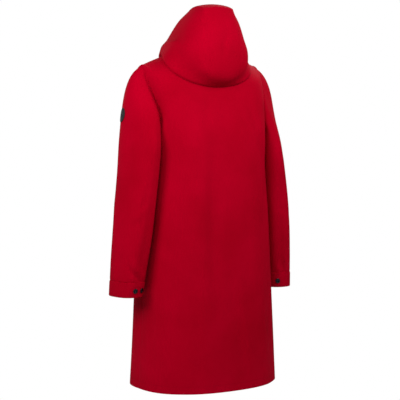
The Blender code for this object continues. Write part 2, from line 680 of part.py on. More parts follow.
def slider():
    """The slider's body: a plate in front of the teeth with an arch over the pull's cross bar."""
    frame = slider_frame()
    plate_top = SLIDER_LIFT + SLIDER_PLATE
    body = box(
        "zip_slider",
        (-SLIDER_WIDTH / 2, -SLIDER_LENGTH / 2, SLIDER_LIFT),
        (SLIDER_WIDTH / 2, SLIDER_LENGTH / 2, plate_top),
        frame,
        SLIDER_EDGE,
    )
    arch_top = plate_top + ARCH_ROOM + ARCH_WALL
    arch = box(
        "arch",
        (-ARCH_WIDTH / 2, -ARCH_LENGTH / 2, plate_top - ARCH_SUNK),
        (ARCH_WIDTH / 2, ARCH_LENGTH / 2, arch_top),
        frame,
        ARCH_EDGE,
    )
    room = box(
        "room",
        (-ARCH_WIDTH, -ARCH_LENGTH / 2 + ARCH_WALL, plate_top),
        (ARCH_WIDTH, ARCH_LENGTH / 2 - ARCH_WALL, plate_top + ARCH_ROOM),
        frame,
    )
    combine(arch, room, "DIFFERENCE")
    return combine(body, arch, "UNION")


def pull_tab():
    """The pull: a flat tab hanging down the front from a round cross bar that runs under the slider's arch."""
    frame = slider_frame() @ Matrix.Translation((0, 0, PULL_AXIS_OUT))
    tab = box(
        "zip_pull",
        (-PULL_WIDTH / 2, -PULL_LENGTH, -PULL_THICKNESS / 2),
        (PULL_WIDTH / 2, 0, PULL_THICKNESS / 2),
        frame,
        PULL_EDGE,
    )
    hole = box(
        "hole",
        (-PULL_HOLE_WIDTH / 2, -PULL_HOLE_LENGTH, -CUTTER_BEYOND),
        (PULL_HOLE_WIDTH / 2, CUTTER_BEYOND, CUTTER_BEYOND),
        frame,
    )
    combine(tab, hole, "DIFFERENCE")
    return combine(tab, cylinder("bar", PULL_BAR_RADIUS, PULL_WIDTH, frame), "UNION")


# ---------------------------------------------------------------- snaps and badge
def turned(name, profile, frame, steps=20):
    """A solid turned about the frame's Z axis from a profile of radii and heights, given from the top down."""
    mesh = bpy.data.meshes.new(name)
    mesh.from_pydata([(r, 0, z) for r, z in profile], [(i, i + 1) for i in range(len(profile) - 1)], [])
    thing = bpy.data.objects.new(name, mesh)
    thing.matrix_world = frame
    collection().objects.link(thing)
    screw = thing.modifiers.new("turn", "SCREW")
    screw.steps = steps
    screw.render_steps = steps
    screw.use_merge_vertices = True
    screw.merge_threshold = 0.00005
    return thing


def snap(side, number, angle_deg):
    """A metal snap's cap on the cuff band: a low domed disc with a rolled rim and a dimple."""
    angle, drop, step = np.array(angle_deg * DEG), np.array(CUFF_HEIGHT * SNAP_DOWN), 1e-3
    around = cuff_point(angle + step, drop, CUFF_PROUD) - cuff_point(angle - step, drop, CUFF_PROUD)
    downward = cuff_point(angle, drop + step, CUFF_PROUD) - cuff_point(angle, drop - step, CUFF_PROUD)
    outward = np.cross(downward, around)
    outward /= np.linalg.norm(outward)
    at = cuff_point(angle, drop, CUFF_PROUD) + outward * SEAM_GAP
    frame = Vector(mirrored(outward, side)).to_track_quat("Z", "Y").to_matrix().to_4x4()
    frame.translation = Vector(pushed(mirrored(at, side)))
    r, h = SNAP_RADIUS, SNAP_HEIGHT
    profile = (
        (0.0, h * 0.72),
        (r * 0.30, h * 0.72),
        (r * 0.42, h * 0.95),
        (r * 0.70, h),
        (r * 0.92, h * 0.82),
        (r, h * 0.45),
        (r * 0.96, 0.0),
        (0.0, 0.0),
    )
    return turned(f"snap_{side_name(side)}_{number}", profile, frame)


def badge():
    """A plain round badge on the left sleeve, bent to the sleeve: its points are the sleeve's, moved out."""
    spokes = np.arange(BADGE_SPOKES) * 2 * math.pi / BADGE_SPOKES
    rings = np.linspace(0, 1, BADGE_RINGS + 1)[1:]
    centre_angle, centre_down = BADGE_ANGLE * DEG, BADGE_DOWN
    step = 1e-3
    around = sleeve_surface(centre_angle + step, centre_down) - sleeve_surface(centre_angle - step, centre_down)
    downward = sleeve_surface(centre_angle, centre_down + step) - sleeve_surface(centre_angle, centre_down - step)
    per_angle = 2 * step / np.linalg.norm(around)
    per_down = 2 * step / np.linalg.norm(downward)
    grid_ring, grid_spoke = np.meshgrid(rings * BADGE_RADIUS, spokes, indexing="ij")
    angle = centre_angle + grid_ring * np.cos(grid_spoke) * per_angle
    down = centre_down + grid_ring * np.sin(grid_spoke) * per_down
    angle = np.append(angle, centre_angle)
    down = np.append(down, centre_down)
    face = sleeve_surface(angle, down)
    normal = -normal_of(sleeve_surface, angle, down)
    near, far = face + normal * SEAM_GAP, face + normal * (SEAM_GAP + BADGE_THICKNESS)
    return disc_wall("badge", far, near, len(rings), BADGE_SPOKES)


def disc_wall(name, top, under, rings, spokes):
    """A closed round wall between two faces, each given ring by ring from the middle out and then its centre."""
    count = rings * spokes
    faces = []
    for shift, turn in ((0, 1), (count + 1, -1)):
        for ring in range(rings):
            for spoke in range(spokes):
                here, after = spoke, (spoke + 1) % spokes
                inner = [count, count] if ring == 0 else [(ring - 1) * spokes + here, (ring - 1) * spokes + after]
                corners = [inner[0], ring * spokes + here, ring * spokes + after, inner[1]]
                corners = corners[:3] if ring == 0 else corners
                faces.append([c + shift for c in corners][::turn])
    rim = (rings - 1) * spokes
    for spoke in range(spokes):
        here, after = rim + spoke, rim + (spoke + 1) % spokes
        faces.append([here, here + count + 1, after + count + 1, after])
    mesh = bpy.data.meshes.new(name)
    mesh.from_pydata(np.concatenate([top, under]).tolist(), [], faces)
    return finish_mesh(name, mesh)


# ---------------------------------------------------------------- the whole coat
def material(name, colour, roughness, metallic=0.0):
    """A plain material with the piece's colour and gloss."""
    made = bpy.data.materials.new(name)
    made.use_nodes = True
    shader = made.node_tree.nodes["Principled BSDF"]
    shader.inputs["Base Color"].default_value = colour
    shader.inputs["Roughness"].default_value = roughness
    shader.inputs["Metallic"].default_value = metallic
    made.diffuse_color = colour
    return made


def main():
    for thing in list(bpy.data.objects):
        bpy.data.objects.remove(thing, do_unlink=True)
    body_panels()
    for side in (1, -1):
        sleeve_wall(side)
        cuff_band(side)
    for side, number, angle in SNAP_PLACES:
        snap(side, number, angle)
    hood()
    front_strip("zip_tape", ZIP_TAPE_HALF, -CLOTH - SEAM_GAP, -CLOTH - SEAM_GAP - ZIP_TAPE, 4)
    front_strip("zip_teeth", ZIP_TEETH_HALF, 0.0, -CLOTH, 2)
    slider()
    pull_tab()
    badge()
    for thing in collection().objects:
        colour, roughness, metallic = CLOTH_RED, 0.85, 0.0
        if thing.name == "badge":
            colour, roughness = BADGE_DARK, 0.6
        if thing.name.startswith("snap") or thing.name in ("zip_slider", "zip_pull"):
            colour, roughness, metallic = GUNMETAL, 0.35, 0.9
        thing.data.materials.clear()
        thing.data.materials.append(material(thing.name + "_finish", colour, roughness, metallic))


main()
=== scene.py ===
# %% [markdown]
# # A knee-length hooded waterproof coat
# The coat stands as if worn: hollow, filled out, hood up. The imported solids give its form and its pieces. This
# lesson dresses them: each panel of cloth becomes a fine surface with the same form, its main creases placed one by
# one, its seam edges rolled in and its stitches laid on top. All shapes are worked out with numpy on grids.

# %% Load the frame
import math

import bpy
import numpy as np
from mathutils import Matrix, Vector


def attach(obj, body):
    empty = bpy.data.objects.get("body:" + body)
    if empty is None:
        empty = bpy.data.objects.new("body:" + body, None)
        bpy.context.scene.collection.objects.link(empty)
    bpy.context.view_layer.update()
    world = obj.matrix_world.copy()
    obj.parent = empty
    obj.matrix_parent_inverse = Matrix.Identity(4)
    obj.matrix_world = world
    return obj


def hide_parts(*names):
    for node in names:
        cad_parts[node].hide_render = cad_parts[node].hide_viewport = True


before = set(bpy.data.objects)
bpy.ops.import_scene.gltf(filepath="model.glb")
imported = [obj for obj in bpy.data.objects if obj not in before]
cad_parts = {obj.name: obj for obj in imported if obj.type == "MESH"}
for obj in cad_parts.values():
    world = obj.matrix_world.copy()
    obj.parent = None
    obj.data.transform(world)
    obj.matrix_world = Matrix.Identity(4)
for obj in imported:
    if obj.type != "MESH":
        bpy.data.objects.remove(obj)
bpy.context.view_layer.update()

DEG = math.pi / 180
MM = 0.001
CLOTH = 2.0 * MM  # the bonded cloth's thickness

# %% [markdown]
# ## Camera
# The coat is seen from behind and from the wearer's left, from far enough away that its sides stay nearly parallel.
# A long lens does that. The camera stands level with the neck and looks a little down at the coat's middle.

# %% Camera
VIEW_TURN = 32 * DEG  # round the upright, from straight behind towards the wearer's left
VIEW_DISTANCE = 4.80
EYE_HEIGHT = 0.03
LENS_MM = 147.7
AIM = Vector((0.0, 0.0, -0.4164))

camera_data = bpy.data.cameras.new("camera")
camera = bpy.data.objects.new("camera", camera_data)
bpy.context.scene.collection.objects.link(camera)
camera.location = (math.sin(VIEW_TURN) * VIEW_DISTANCE, math.cos(VIEW_TURN) * VIEW_DISTANCE, EYE_HEIGHT)
to_right = Vector((-math.cos(VIEW_TURN), math.sin(VIEW_TURN), 0))
aim = AIM + to_right * 3.0 * MM
camera.rotation_euler = (aim - camera.location).to_track_quat("-Z", "Y").to_euler()
camera_data.lens = LENS_MM
camera_data.sensor_width = 36
camera_data.clip_end = 100
bpy.context.scene.camera = camera
print("camera at", [round(v, 3) for v in camera.location])


# %% [markdown]
# ## Grids of points
# Every panel is a grid: rows run down the coat and columns across it. A wall of cloth is the grid and the same grid
# moved in by the cloth's thickness, closed round its edges. Each point also gets UV coordinates in metres measured
# along the cloth itself, so that a weave keeps its real size and follows the folds.

# %% Grid helpers
def unit(vectors):
    """Each vector divided by its length."""
    return vectors / np.maximum(np.linalg.norm(vectors, axis=-1, keepdims=True), 1e-12)


def grid_normals(grid, closed=False):
    """Cross product of the differences down and along a grid; closed joins its last column to its first."""
    down = np.gradient(grid, axis=0)
    if closed:
        along = (np.roll(grid, -1, 1) - np.roll(grid, 1, 1)) / 2
    else:
        along = np.gradient(grid, axis=1)
    return unit(np.cross(down, along))


def running_length(grid, axis):
    """Length along an axis of a grid from its first point: the sum of the steps."""
    steps = np.linalg.norm(np.diff(grid, axis=axis), axis=-1)
    start = np.zeros_like(np.take(steps, [0], axis=axis))
    return np.concatenate([start, np.cumsum(steps, axis=axis)], axis=axis)


def crowded(count, near_ends, ends=(True, True)):
    """Shares from 0 to 1 in even steps, with the given small shares added near either end."""
    even = np.linspace(0, 1, count + 1)[1:-1]
    first = np.concatenate([[0], near_ends]) if ends[0] else np.array([0.0])
    last = np.concatenate([1 - np.array(near_ends)[::-1], [1]]) if ends[1] else np.array([1.0])
    inner = even[(even > first[-1] * 1.3) & (even < 1 - (1 - last[0]) * 1.3)]
    return np.concatenate([first, inner, last])


def mesh_object(name, points, faces, uv=None):
    """A mesh object from arrays of points and of quads or triangles, shaded smooth. uv has a row for each corner."""
    mesh = bpy.data.meshes.new(name)
    faces = np.asarray(faces)
    sides = faces.shape[1]
    mesh.vertices.add(len(points))
    mesh.vertices.foreach_set("co", np.asarray(points, np.float32).ravel())
    mesh.loops.add(faces.size)
    mesh.loops.foreach_set("vertex_index", faces.ravel().astype(np.int32))
    mesh.polygons.add(len(faces))
    mesh.polygons.foreach_set("loop_start", np.arange(len(faces), dtype=np.int32) * sides)
    mesh.polygons.foreach_set("loop_total", np.full(len(faces), sides, np.int32))
    mesh.update(calc_edges=True)
    if uv is not None:
        layer = mesh.uv_layers.new(name="cloth")
        layer.data.foreach_set("uv", np.asarray(uv, np.float32).ravel())
    mesh.shade_smooth()
    made = bpy.data.objects.new(name, mesh)
    bpy.context.scene.collection.objects.link(made)
    return made


def wall_faces(index, shift, closed):
    """Quads of a wall: the outer grid's, the inner grid's turned round, and those round its edges."""
    outside = np.stack([index[:-1, :-1], index[1:, :-1], index[1:, 1:], index[:-1, 1:]], -1).reshape(-1, 4)
    rims = [index[0], index[-1][::-1]]
    if not closed:
        rims += [index[:, 0][::-1], index[:, -1]]
    rim_faces = [np.stack([rim[:-1], rim[1:], rim[1:] + shift, rim[:-1] + shift], -1) for rim in rims]
    return np.concatenate([outside, outside[:, ::-1] + shift] + rim_faces)


EDGE_ROUND = 1.2 * MM


def edge_distances(grid):
    """Length along the cloth from each point to each edge of its grid."""
    across, down = running_length(grid, 1), running_length(grid, 0)
    return {"first": across, "last": across[:, -1:] - across, "top": down, "bottom": down[-1:] - down}


def wall(name, grid, normals, thickness=CLOTH, closed=False, faces_out=1, sewn=()):
    """A closed wall between a grid and the same grid moved against its normals, with UVs in metres of cloth.

    Within EDGE_ROUND of a free edge both faces close towards the middle, as a quarter circle does, so it is round.
    """
    rows, columns = grid.shape[:2]
    free = {"top", "bottom"} if closed else {"top", "bottom", "first", "last"}
    nearest = [far for edge, far in edge_distances(grid).items() if edge in free - set(sewn)]
    short = 1 - np.clip(np.min(nearest, axis=0) / EDGE_ROUND, 0, 1) if nearest else np.zeros((rows, columns))
    fullness = (0.3 + 0.7 * np.sqrt(1 - short**2))[..., None]
    outer = grid - normals * thickness * (1 - fullness) / 2
    inner = grid - normals * thickness * (1 + fullness) / 2
    index = np.arange(rows * columns).reshape(rows, columns)
    round_again = outer
    if closed:
        index = np.concatenate([index, index[:, :1]], 1)
        round_again = np.concatenate([outer, outer[:, :1]], 1)
    flat_index = np.arange(index.size).reshape(index.shape)
    across, down = running_length(round_again, 1), running_length(round_again, 0)
    across = across - across[:, across.shape[1] // 2][:, None]
    flat = np.stack([across, down], -1).reshape(-1, 2)
    faces = wall_faces(index, rows * columns, closed)[:, ::faces_out]
    corners = wall_faces(flat_index, 0, closed)[:, ::faces_out]
    points = np.concatenate([outer.reshape(-1, 3), inner.reshape(-1, 3)])
    made = mesh_object(name, points, faces, flat[corners.ravel()])
    cut = across.max() - across.min(), down.max()
    cells = np.cross(round_again[1:, 1:] - round_again[:-1, :-1], round_again[1:, :-1] - round_again[:-1, 1:])
    area = np.linalg.norm(cells, axis=-1).sum() / 2
    print(f"{name}: {len(faces) * 2} triangles, {area:.4f} square metres within {cut[0]:.3f} x {cut[1]:.3f} m")
    return made


# %% [markdown]
# ## The coat's form
# The form is the solids' own: a short table with a row for each ring, and a cubic through the rows. Between the
# named rings the surface is smooth, so the same table serves a coarse solid and a fine piece of cloth.

# %% Tables and rings
def between_rows(values, row):
    """Value at a fractional row: a cubic through the rows, whose slope at each is taken from its two neighbours."""
    row = np.clip(np.asarray(row, float), 0, len(values) - 1)
    slopes = np.gradient(values)
    low = np.minimum(row.astype(int), len(values) - 2)
    t = row - low
    return (
        values[low] * (2 * t**3 - 3 * t**2 + 1)
        + slopes[low] * (t**3 - 2 * t**2 + t)
        + values[low + 1] * (3 * t**2 - 2 * t**3)
        + slopes[low + 1] * (t**3 - t**2)
    )


def read_table(columns, rows):
    """A table's columns as arrays by name."""
    return dict(zip(columns.split(), np.array(rows, float).T))


def ring_point(ring, angle):
    """Superellipse |x/a|^n + |y/b|^n = 1 at an angle from the back (+Y) towards +X, its height eased round it."""
    s, c = np.sin(angle), np.cos(angle)
    reach = (np.abs(s) ** ring["square"] + np.abs(c) ** ring["square"]) ** (-1 / ring["square"])
    depth = np.where(c > 0, ring["y_back"] - ring["y_mid"], ring["y_mid"] - ring["y_front"])
    ends = np.where(c > 0, ring["z_back"], ring["z_front"])
    z = ring["z_side"] + (ends - ring["z_side"]) * np.abs(c) ** 1.5
    return np.stack([ring["half"] * reach * s, ring["y_mid"] + depth * reach * c, z], -1)


def surface_normal(surface, a, b, step=1e-3):
    """Cross product of a surface's slopes along its two parameters."""
    along_a = surface(a + step, b) - surface(a - step, b)
    along_b = surface(a, b + step) - surface(a, b - step)
    return unit(np.cross(along_a, along_b))


# %% The body's form
BODY = read_table(
    "z_back z_side z_front half y_mid y_back y_front square",
    (
        (0.026, 0.020, -0.055, 0.080, 0.000, 0.062, -0.088, 2.00),  # neck edge
        (0.000, 0.009, -0.075, 0.112, 0.000, 0.079, -0.105, 2.05),
        (-0.035, -0.003, -0.100, 0.148, 0.002, 0.094, -0.118, 2.20),
        (-0.075, -0.016, -0.130, 0.184, 0.004, 0.107, -0.128, 2.40),
        (-0.100, -0.0245, -0.150, 0.1985, 0.006, 0.114, -0.132, 2.50),  # shoulder point
        (-0.135, -0.075, -0.175, 0.2035, 0.010, 0.124, -0.136, 2.65),
        (-0.175, -0.140, -0.205, 0.1995, 0.012, 0.134, -0.139, 2.80),
        (-0.225, -0.215, -0.235, 0.187, 0.015, 0.144, -0.141, 3.00),  # underarm
        (-0.290, -0.285, -0.295, 0.178, 0.016, 0.151, -0.140, 3.10),
        (-0.370, -0.367, -0.370, 0.179, 0.017, 0.156, -0.138, 3.10),
        (-0.470, -0.468, -0.470, 0.185, 0.018, 0.160, -0.135, 3.10),
        (-0.580, -0.579, -0.580, 0.193, 0.019, 0.164, -0.132, 3.00),
        (-0.690, -0.690, -0.690, 0.201, 0.020, 0.168, -0.131, 2.80),
        (-0.820, -0.820, -0.820, 0.210, 0.020, 0.173, -0.133, 2.65),
        (-0.950, -0.945, -0.943, 0.219, 0.019, 0.177, -0.136, 2.55),  # hem
    ),
)
SHOULDER_ROW, UNDERARM_ROW, HEM_ROW = 4, 7, 14
# The largest folds: angle, half width, first and last row, how far out, and lean towards +X for each row down.
BODY_FOLDS = (
    (11.0, 9.0, 5.6, 12.5, -0.0034, 0.3),
    (-19.0, 11.0, 6.2, 13.0, 0.0022, -0.5),
    (37.0, 8.0, 9.5, 16.0, -0.0026, 0.8),
    (-43.0, 8.0, 9.0, 16.0, -0.0030, -0.9),
    (-60.0, 8.0, 9.8, 16.5, 0.0024, -0.6),
    (122.0, 13.0, 7.8, 16.0, -0.0034, 0.7),
    (150.0, 10.0, 8.6, 16.5, 0.0028, 0.5),
    (-118.0, 11.0, 8.2, 16.0, -0.0030, -1.0),
    (-146.0, 12.0, 9.0, 16.5, 0.0030, -0.5),
)


def fold_height(angle, row):
    """Sum of the large folds: each is a bell across its width and along its rows."""
    out = np.zeros_like(angle)
    for middle, width, start, end, height, lean in BODY_FOLDS:
        along = np.sin(math.pi * np.clip((row - start) / (end - start), 0, 1)) ** 2
        centre = (middle + lean * (row - start)) * DEG
        away = np.mod(angle - centre + math.pi, 2 * math.pi) - math.pi
        out = out + height * along * np.exp(-((away / (width * DEG)) ** 2))
    return out


def body_surface(angle, row):
    """The body's cloth: the table's ring at that row, moved out by the large folds."""
    angle, row = np.broadcast_arrays(np.asarray(angle, float), np.asarray(row, float))
    ring = {name: between_rows(values, row) for name, values in BODY.items()}
    outward = np.stack([np.sin(angle), np.cos(angle), 0 * angle], -1)
    return ring_point(ring, angle) + outward * fold_height(angle, row)[..., None]


def body_point(angle, row, out=0.0):
    """A point of the body's cloth moved out along its normal."""
    angle, row = np.broadcast_arrays(np.asarray(angle, float), np.asarray(row, float))
    return body_surface(angle, row) + surface_normal(body_surface, angle, row) * np.asarray(out)[..., None]


# %% [markdown]
# The armhole is a closed curve on the body. It starts at the shoulder point, cuts into the back and the front, and
# comes together under the arm. Both the panels and the sleeves end on it, which is what a set-in sleeve is.

# %% The armhole and the sleeve's form
BITE_BACK, BITE_FRONT, BITE_SKEW, BITE_TOP, BITE_UNDER = 34.5, 37.0, 1.5, 0.75, 1.1
SLEEVE = read_table(
    "z x y half back front turn square",
    (
        (-0.262, 0.2225, 0.018, 0.0360, 0.091, 0.058, 14.0, 2.4),
        (-0.330, 0.2270, 0.020, 0.0390, 0.089, 0.058, 12.0, 2.4),
        (-0.420, 0.2350, 0.021, 0.0425, 0.084, 0.057, 11.0, 2.4),
        (-0.500, 0.2415, 0.021, 0.0430, 0.079, 0.055, 10.5, 2.4),
        (-0.575, 0.2478, 0.019, 0.0425, 0.070, 0.053, 9.5, 2.4),
        (-0.636, 0.2525, 0.017, 0.0415, 0.062, 0.050, 8.0, 2.4),  # cuff seam
    ),
)
SLEEVE_LAST = 5
SLEEVE_PULL = 0.90
CUFF_HEIGHT, CUFF_PROUD = 44 * MM, 1.2 * MM


def armhole_row(turn):
    """Row of the armhole at a turn from 0, the shoulder point, to pi, the underarm."""
    return (UNDERARM_ROW + SHOULDER_ROW) / 2 - (UNDERARM_ROW - SHOULDER_ROW) / 2 * np.cos(turn)


def armhole_bite(turn, deepest):
    """How far round the armhole cuts at a turn: a sine with its deepest place pushed down."""
    pushed = math.pi * np.clip(turn / math.pi, 0, 1) ** BITE_SKEW
    fullness = np.where(pushed < math.pi / 2, BITE_TOP, BITE_UNDER)
    return deepest * DEG * np.clip(np.sin(pushed), 0, 1) ** fullness


def armhole_loop(angle):
    """Angle and row on the body of the armhole, at an angle round the sleeve."""
    turn = np.where(angle <= math.pi, angle, 2 * math.pi - angle)
    back = 90 * DEG - armhole_bite(turn, BITE_BACK)
    front = 90 * DEG + armhole_bite(turn, BITE_FRONT)
    return np.where(angle <= math.pi, back, front), armhole_row(turn)


def sleeve_ring(angle, row):
    """The left sleeve below its top: a turned superellipse, at an angle from the outside over the back."""
    ring = {name: between_rows(values, row) for name, values in SLEEVE.items()}
    s, c = np.sin(angle), np.cos(angle)
    reach = (np.abs(s) ** ring["square"] + np.abs(c) ** ring["square"]) ** (-1 / ring["square"])
    across = ring["half"] * reach * c
    depth = np.where(s > 0, ring["back"], ring["front"]) * reach * s
    turn = ring["turn"] * DEG
    x = ring["x"] + across * np.cos(turn) - depth * np.sin(turn)
    y = ring["y"] + across * np.sin(turn) + depth * np.cos(turn)
    return np.stack([x, y, ring["z"] + 0 * x], -1)


def sleeve_surface(angle, down):
    """The left sleeve: a Hermite cubic from the armhole to its first ring, then the rings of the table."""
    angle, down = np.broadcast_arrays(np.asarray(angle, float), np.asarray(down, float))
    wrapped = np.mod(angle, 2 * math.pi)
    start = body_surface(*armhole_loop(wrapped))
    below = sleeve_ring(wrapped, np.maximum(down - 1, 0))
    first = sleeve_ring(wrapped, np.zeros_like(down))
    run = np.linalg.norm(first - start, axis=-1, keepdims=True)
    c, s = np.cos(wrapped), np.sin(wrapped)
    top, rear = np.clip(c, 0, 1), np.clip(s, 0, 1)
    leave = unit(np.stack([0.30 + 0.62 * top**3 - 0.45 * rear * top, 0.08 * s, -0.84 + 0.48 * top**2], -1))
    arrive = unit(sleeve_ring(wrapped, np.full_like(down, 0.1)) - first)
    t = np.clip(down, 0, 1)[..., None]
    joined = (
        start * (2 * t**3 - 3 * t**2 + 1)
        + leave * run * SLEEVE_PULL * (t**3 - 2 * t**2 + t)
        + first * (3 * t**2 - 2 * t**3)
        + arrive * run * (t**3 - t**2)
    )
    return np.where(down[..., None] < 1, joined, below)


def cuff_point(angle, drop, out=0.0):
    """The left cuff: the sleeve's last ring carried down along its own slope, and moved out across the arm."""
    last = np.full(np.shape(angle), float(SLEEVE_LAST))
    ring, above = sleeve_ring(angle, last), sleeve_ring(angle, last - 0.05)
    slope = (ring - above) / (ring[..., 2:] - above[..., 2:])
    ahead = sleeve_ring(angle + 1e-3, last) - sleeve_ring(angle - 1e-3, last)
    outward = unit(np.stack([ahead[..., 1], -ahead[..., 0], 0 * ahead[..., 0]], -1))
    return ring - slope * np.asarray(drop)[..., None] + outward * np.asarray(out)[..., None]


# %% [markdown]
# ## Creases
# Thick bonded cloth makes few folds, soft and wide. Each one here is given one by one: where it starts, where it
# passes and where it ends, how wide it is and how deep. Across it the cloth dips in a valley and rises beside it;
# along it the depth swells and dies away. No two have the same length, depth or spacing.

# %% Creases, listed one by one
# start, middle and end in metres, width and depth in millimetres; the ridge lies on the side that the sign of
# ridge gives.
CREASES = (
    # back: the slanting fold below the right shoulder and its softer neighbours
    ((-0.092, 0.122, -0.125), (-0.118, 0.130, -0.214), (-0.158, 0.110, -0.312), 13, 3.2, 1),
    ((-0.052, 0.125, -0.150), (-0.082, 0.134, -0.205), (-0.100, 0.142, -0.290), 15, 1.0, 1),
    ((-0.150, 0.116, -0.330), (-0.138, 0.132, -0.440), (-0.136, 0.145, -0.600), 15, 2.0, 1),
    # back, left side
    ((0.150, 0.108, -0.190), (0.140, 0.124, -0.262), (0.124, 0.140, -0.350), 13, 1.6, -1),
    ((0.030, 0.108, -0.090), (0.048, 0.122, -0.140), (0.060, 0.134, -0.205), 16, 1.0, 1),
    ((0.121, 0.124, -0.180), (0.122, 0.138, -0.340), (0.131, 0.143, -0.520), 14, 1.1, -1),
    # long soft ones down the back
    ((0.042, 0.144, -0.236), (0.053, 0.157, -0.464), (0.045, 0.167, -0.730), 15, 2.0, -1),
    ((-0.060, 0.150, -0.300), (-0.064, 0.158, -0.500), (-0.060, 0.166, -0.740), 17, 1.2, 1),
    ((0.000, 0.166, -0.620), (-0.031, 0.171, -0.781), (-0.049, 0.176, -0.940), 15, 2.4, 1),
    ((0.104, 0.150, -0.560), (0.112, 0.150, -0.740), (0.104, 0.160, -0.930), 16, 1.2, 1),
    ((-0.140, 0.135, -0.640), (-0.150, 0.137, -0.780), (-0.158, 0.140, -0.935), 14, 1.6, -1),
    # above the hem at the sides
    ((0.192, 0.062, -0.640), (0.200, 0.074, -0.790), (0.208, 0.080, -0.935), 14, 2.0, 1),
    ((-0.186, 0.050, -0.600), (-0.194, 0.045, -0.760), (-0.208, 0.040, -0.935), 15, 1.6, -1),
    # fronts: pull lines from the chest to the armholes, and long ones below
    ((0.060, -0.136, -0.170), (0.100, -0.134, -0.205), (0.140, -0.112, -0.260), 13, 1.8, 1),
    ((-0.052, -0.136, -0.185), (-0.096, -0.135, -0.230), (-0.138, -0.115, -0.275), 14, 2.2, -1),
    ((0.078, -0.134, -0.380), (0.088, -0.130, -0.600), (0.080, -0.130, -0.860), 15, 1.9, 1),
    ((-0.070, -0.135, -0.340), (-0.086, -0.131, -0.540), (-0.096, -0.128, -0.900), 14, 1.7, -1),
    ((0.150, -0.095, -0.450), (0.160, -0.092, -0.640), (0.158, -0.100, -0.880), 13, 1.6, -1),
    ((-0.146, -0.100, -0.500), (-0.158, -0.095, -0.690), (-0.170, -0.092, -0.920), 15, 1.8, 1),
    # left sleeve: the rear face turned towards the body, the elbow, and the pleat above the cuff
    ((0.216, 0.104, -0.270), (0.236, 0.103, -0.401), (0.262, 0.084, -0.560), 12, 2.6, 1),
    ((0.252, 0.066, -0.170), (0.252, 0.080, -0.235), (0.240, 0.096, -0.300), 12, 1.2, -1),
    ((0.228, 0.104, -0.400), (0.252, 0.098, -0.418), (0.276, 0.072, -0.446), 10, 1.1, 1),
    ((0.236, 0.098, -0.446), (0.258, 0.088, -0.462), (0.280, 0.060, -0.476), 9, 0.8, -1),
    ((0.280, 0.064, -0.580), (0.264, 0.079, -0.610), (0.238, 0.077, -0.632), 8, 3.2, 1),
    ((0.286, 0.044, -0.545), (0.289, 0.036, -0.590), (0.288, 0.034, -0.640), 8, 1.4, -1),
    ((0.262, -0.020, -0.380), (0.272, -0.026, -0.420), (0.280, -0.018, -0.470), 10, 1.2, 1),
    # right sleeve
    ((-0.224, 0.100, -0.290), (-0.236, 0.096, -0.420), (-0.256, 0.078, -0.560), 12, 2.0, -1),
    ((-0.252, 0.070, -0.160), (-0.256, 0.080, -0.215), (-0.246, 0.094, -0.280), 11, 1.5, 1),
    ((-0.212, 0.098, -0.440), (-0.236, 0.096, -0.452), (-0.262, 0.078, -0.470), 9, 1.2, -1),
    ((-0.236, 0.083, -0.596), (-0.243, 0.080, -0.622), (-0.247, 0.080, -0.652), 7, 4.2, -1),
    ((-0.284, 0.036, -0.552), (-0.289, 0.028, -0.590), (-0.288, 0.030, -0.640), 7, 1.3, 1),
    ((-0.260, -0.022, -0.400), (-0.270, -0.026, -0.450), (-0.278, -0.020, -0.500), 10, 1.3, -1),
    # hood: the valley at the back of the head and its neighbour, and soft ones at the sides
    ((-0.012, 0.137, 0.084), (0.004, 0.146, 0.036), (0.010, 0.147, -0.004), 9, 1.8, 1),
    ((0.060, 0.134, 0.030), (0.054, 0.142, -0.010), (0.040, 0.144, -0.050), 12, 1.6, -1),
    ((-0.064, 0.126, 0.060), (-0.070, 0.134, 0.005), (-0.066, 0.130, -0.045), 12, 1.4, 1),
    ((0.098, 0.060, 0.070), (0.110, 0.076, 0.020), (0.112, 0.074, -0.020), 12, 1.4, 1),
    ((-0.098, 0.056, 0.066), (-0.110, 0.070, 0.015), (-0.112, 0.070, -0.022), 12, 1.4, -1),
)
CREASE_SAMPLES = 28


def parabola(start, middle, end, samples):
    """Points of the parabola through three points."""
    t = np.linspace(0, 1, samples)[:, None]
    a, b, c = np.array(start), np.array(middle), np.array(end)
    return a * (1 - t) * (1 - 2 * t) + b * 4 * t * (1 - t) + c * t * (2 * t - 1)


def crease_height(points, normals):
    """How far the listed creases move each point along its normal.

    The crease's line is the parabola through its three points. With s the signed distance across it in widths, the
    height is -exp(-s^2) + 0.65 exp(-((s - 1.9) / 1.3)^2) times the depth, which swells along the line as a sine.
    """
    shape = points.shape[:-1]
    points, normals = points.reshape(-1, 3), normals.reshape(-1, 3)
    height = np.zeros(len(points))
    for start, middle, end, width, depth, ridge in CREASES:
        line = parabola(start, middle, end, CREASE_SAMPLES)
        reach = 5 * width * MM
        near = np.flatnonzero(np.all((points > line.min(0) - reach) & (points < line.max(0) + reach), -1))
        if not len(near):
            continue
        away = points[near][:, None] - line[None]
        nearest = (away**2).sum(-1).argmin(1)
        tangent = unit(np.gradient(line, axis=0))[nearest]
        offset = away[np.arange(len(near)), nearest]
        beside = unit(np.cross(normals[near], tangent)) * ridge
        s = (offset * beside).sum(-1) / (width * MM)
        beyond = (offset * tangent).sum(-1) / (width * MM)
        lift = (offset * normals[near]).sum(-1) / (2 * width * MM)
        profile = -np.exp(-(s**2)) + 0.65 * np.exp(-(((s - 1.9) / 1.3) ** 2))
        swell = np.sin(math.pi * np.clip(nearest / (CREASE_SAMPLES - 1), 0.06, 0.94)) ** 0.8
        height[near] += depth * MM * profile * swell * np.exp(-(beyond**2)) * np.exp(-(lift**2))
    return height.reshape(shape)


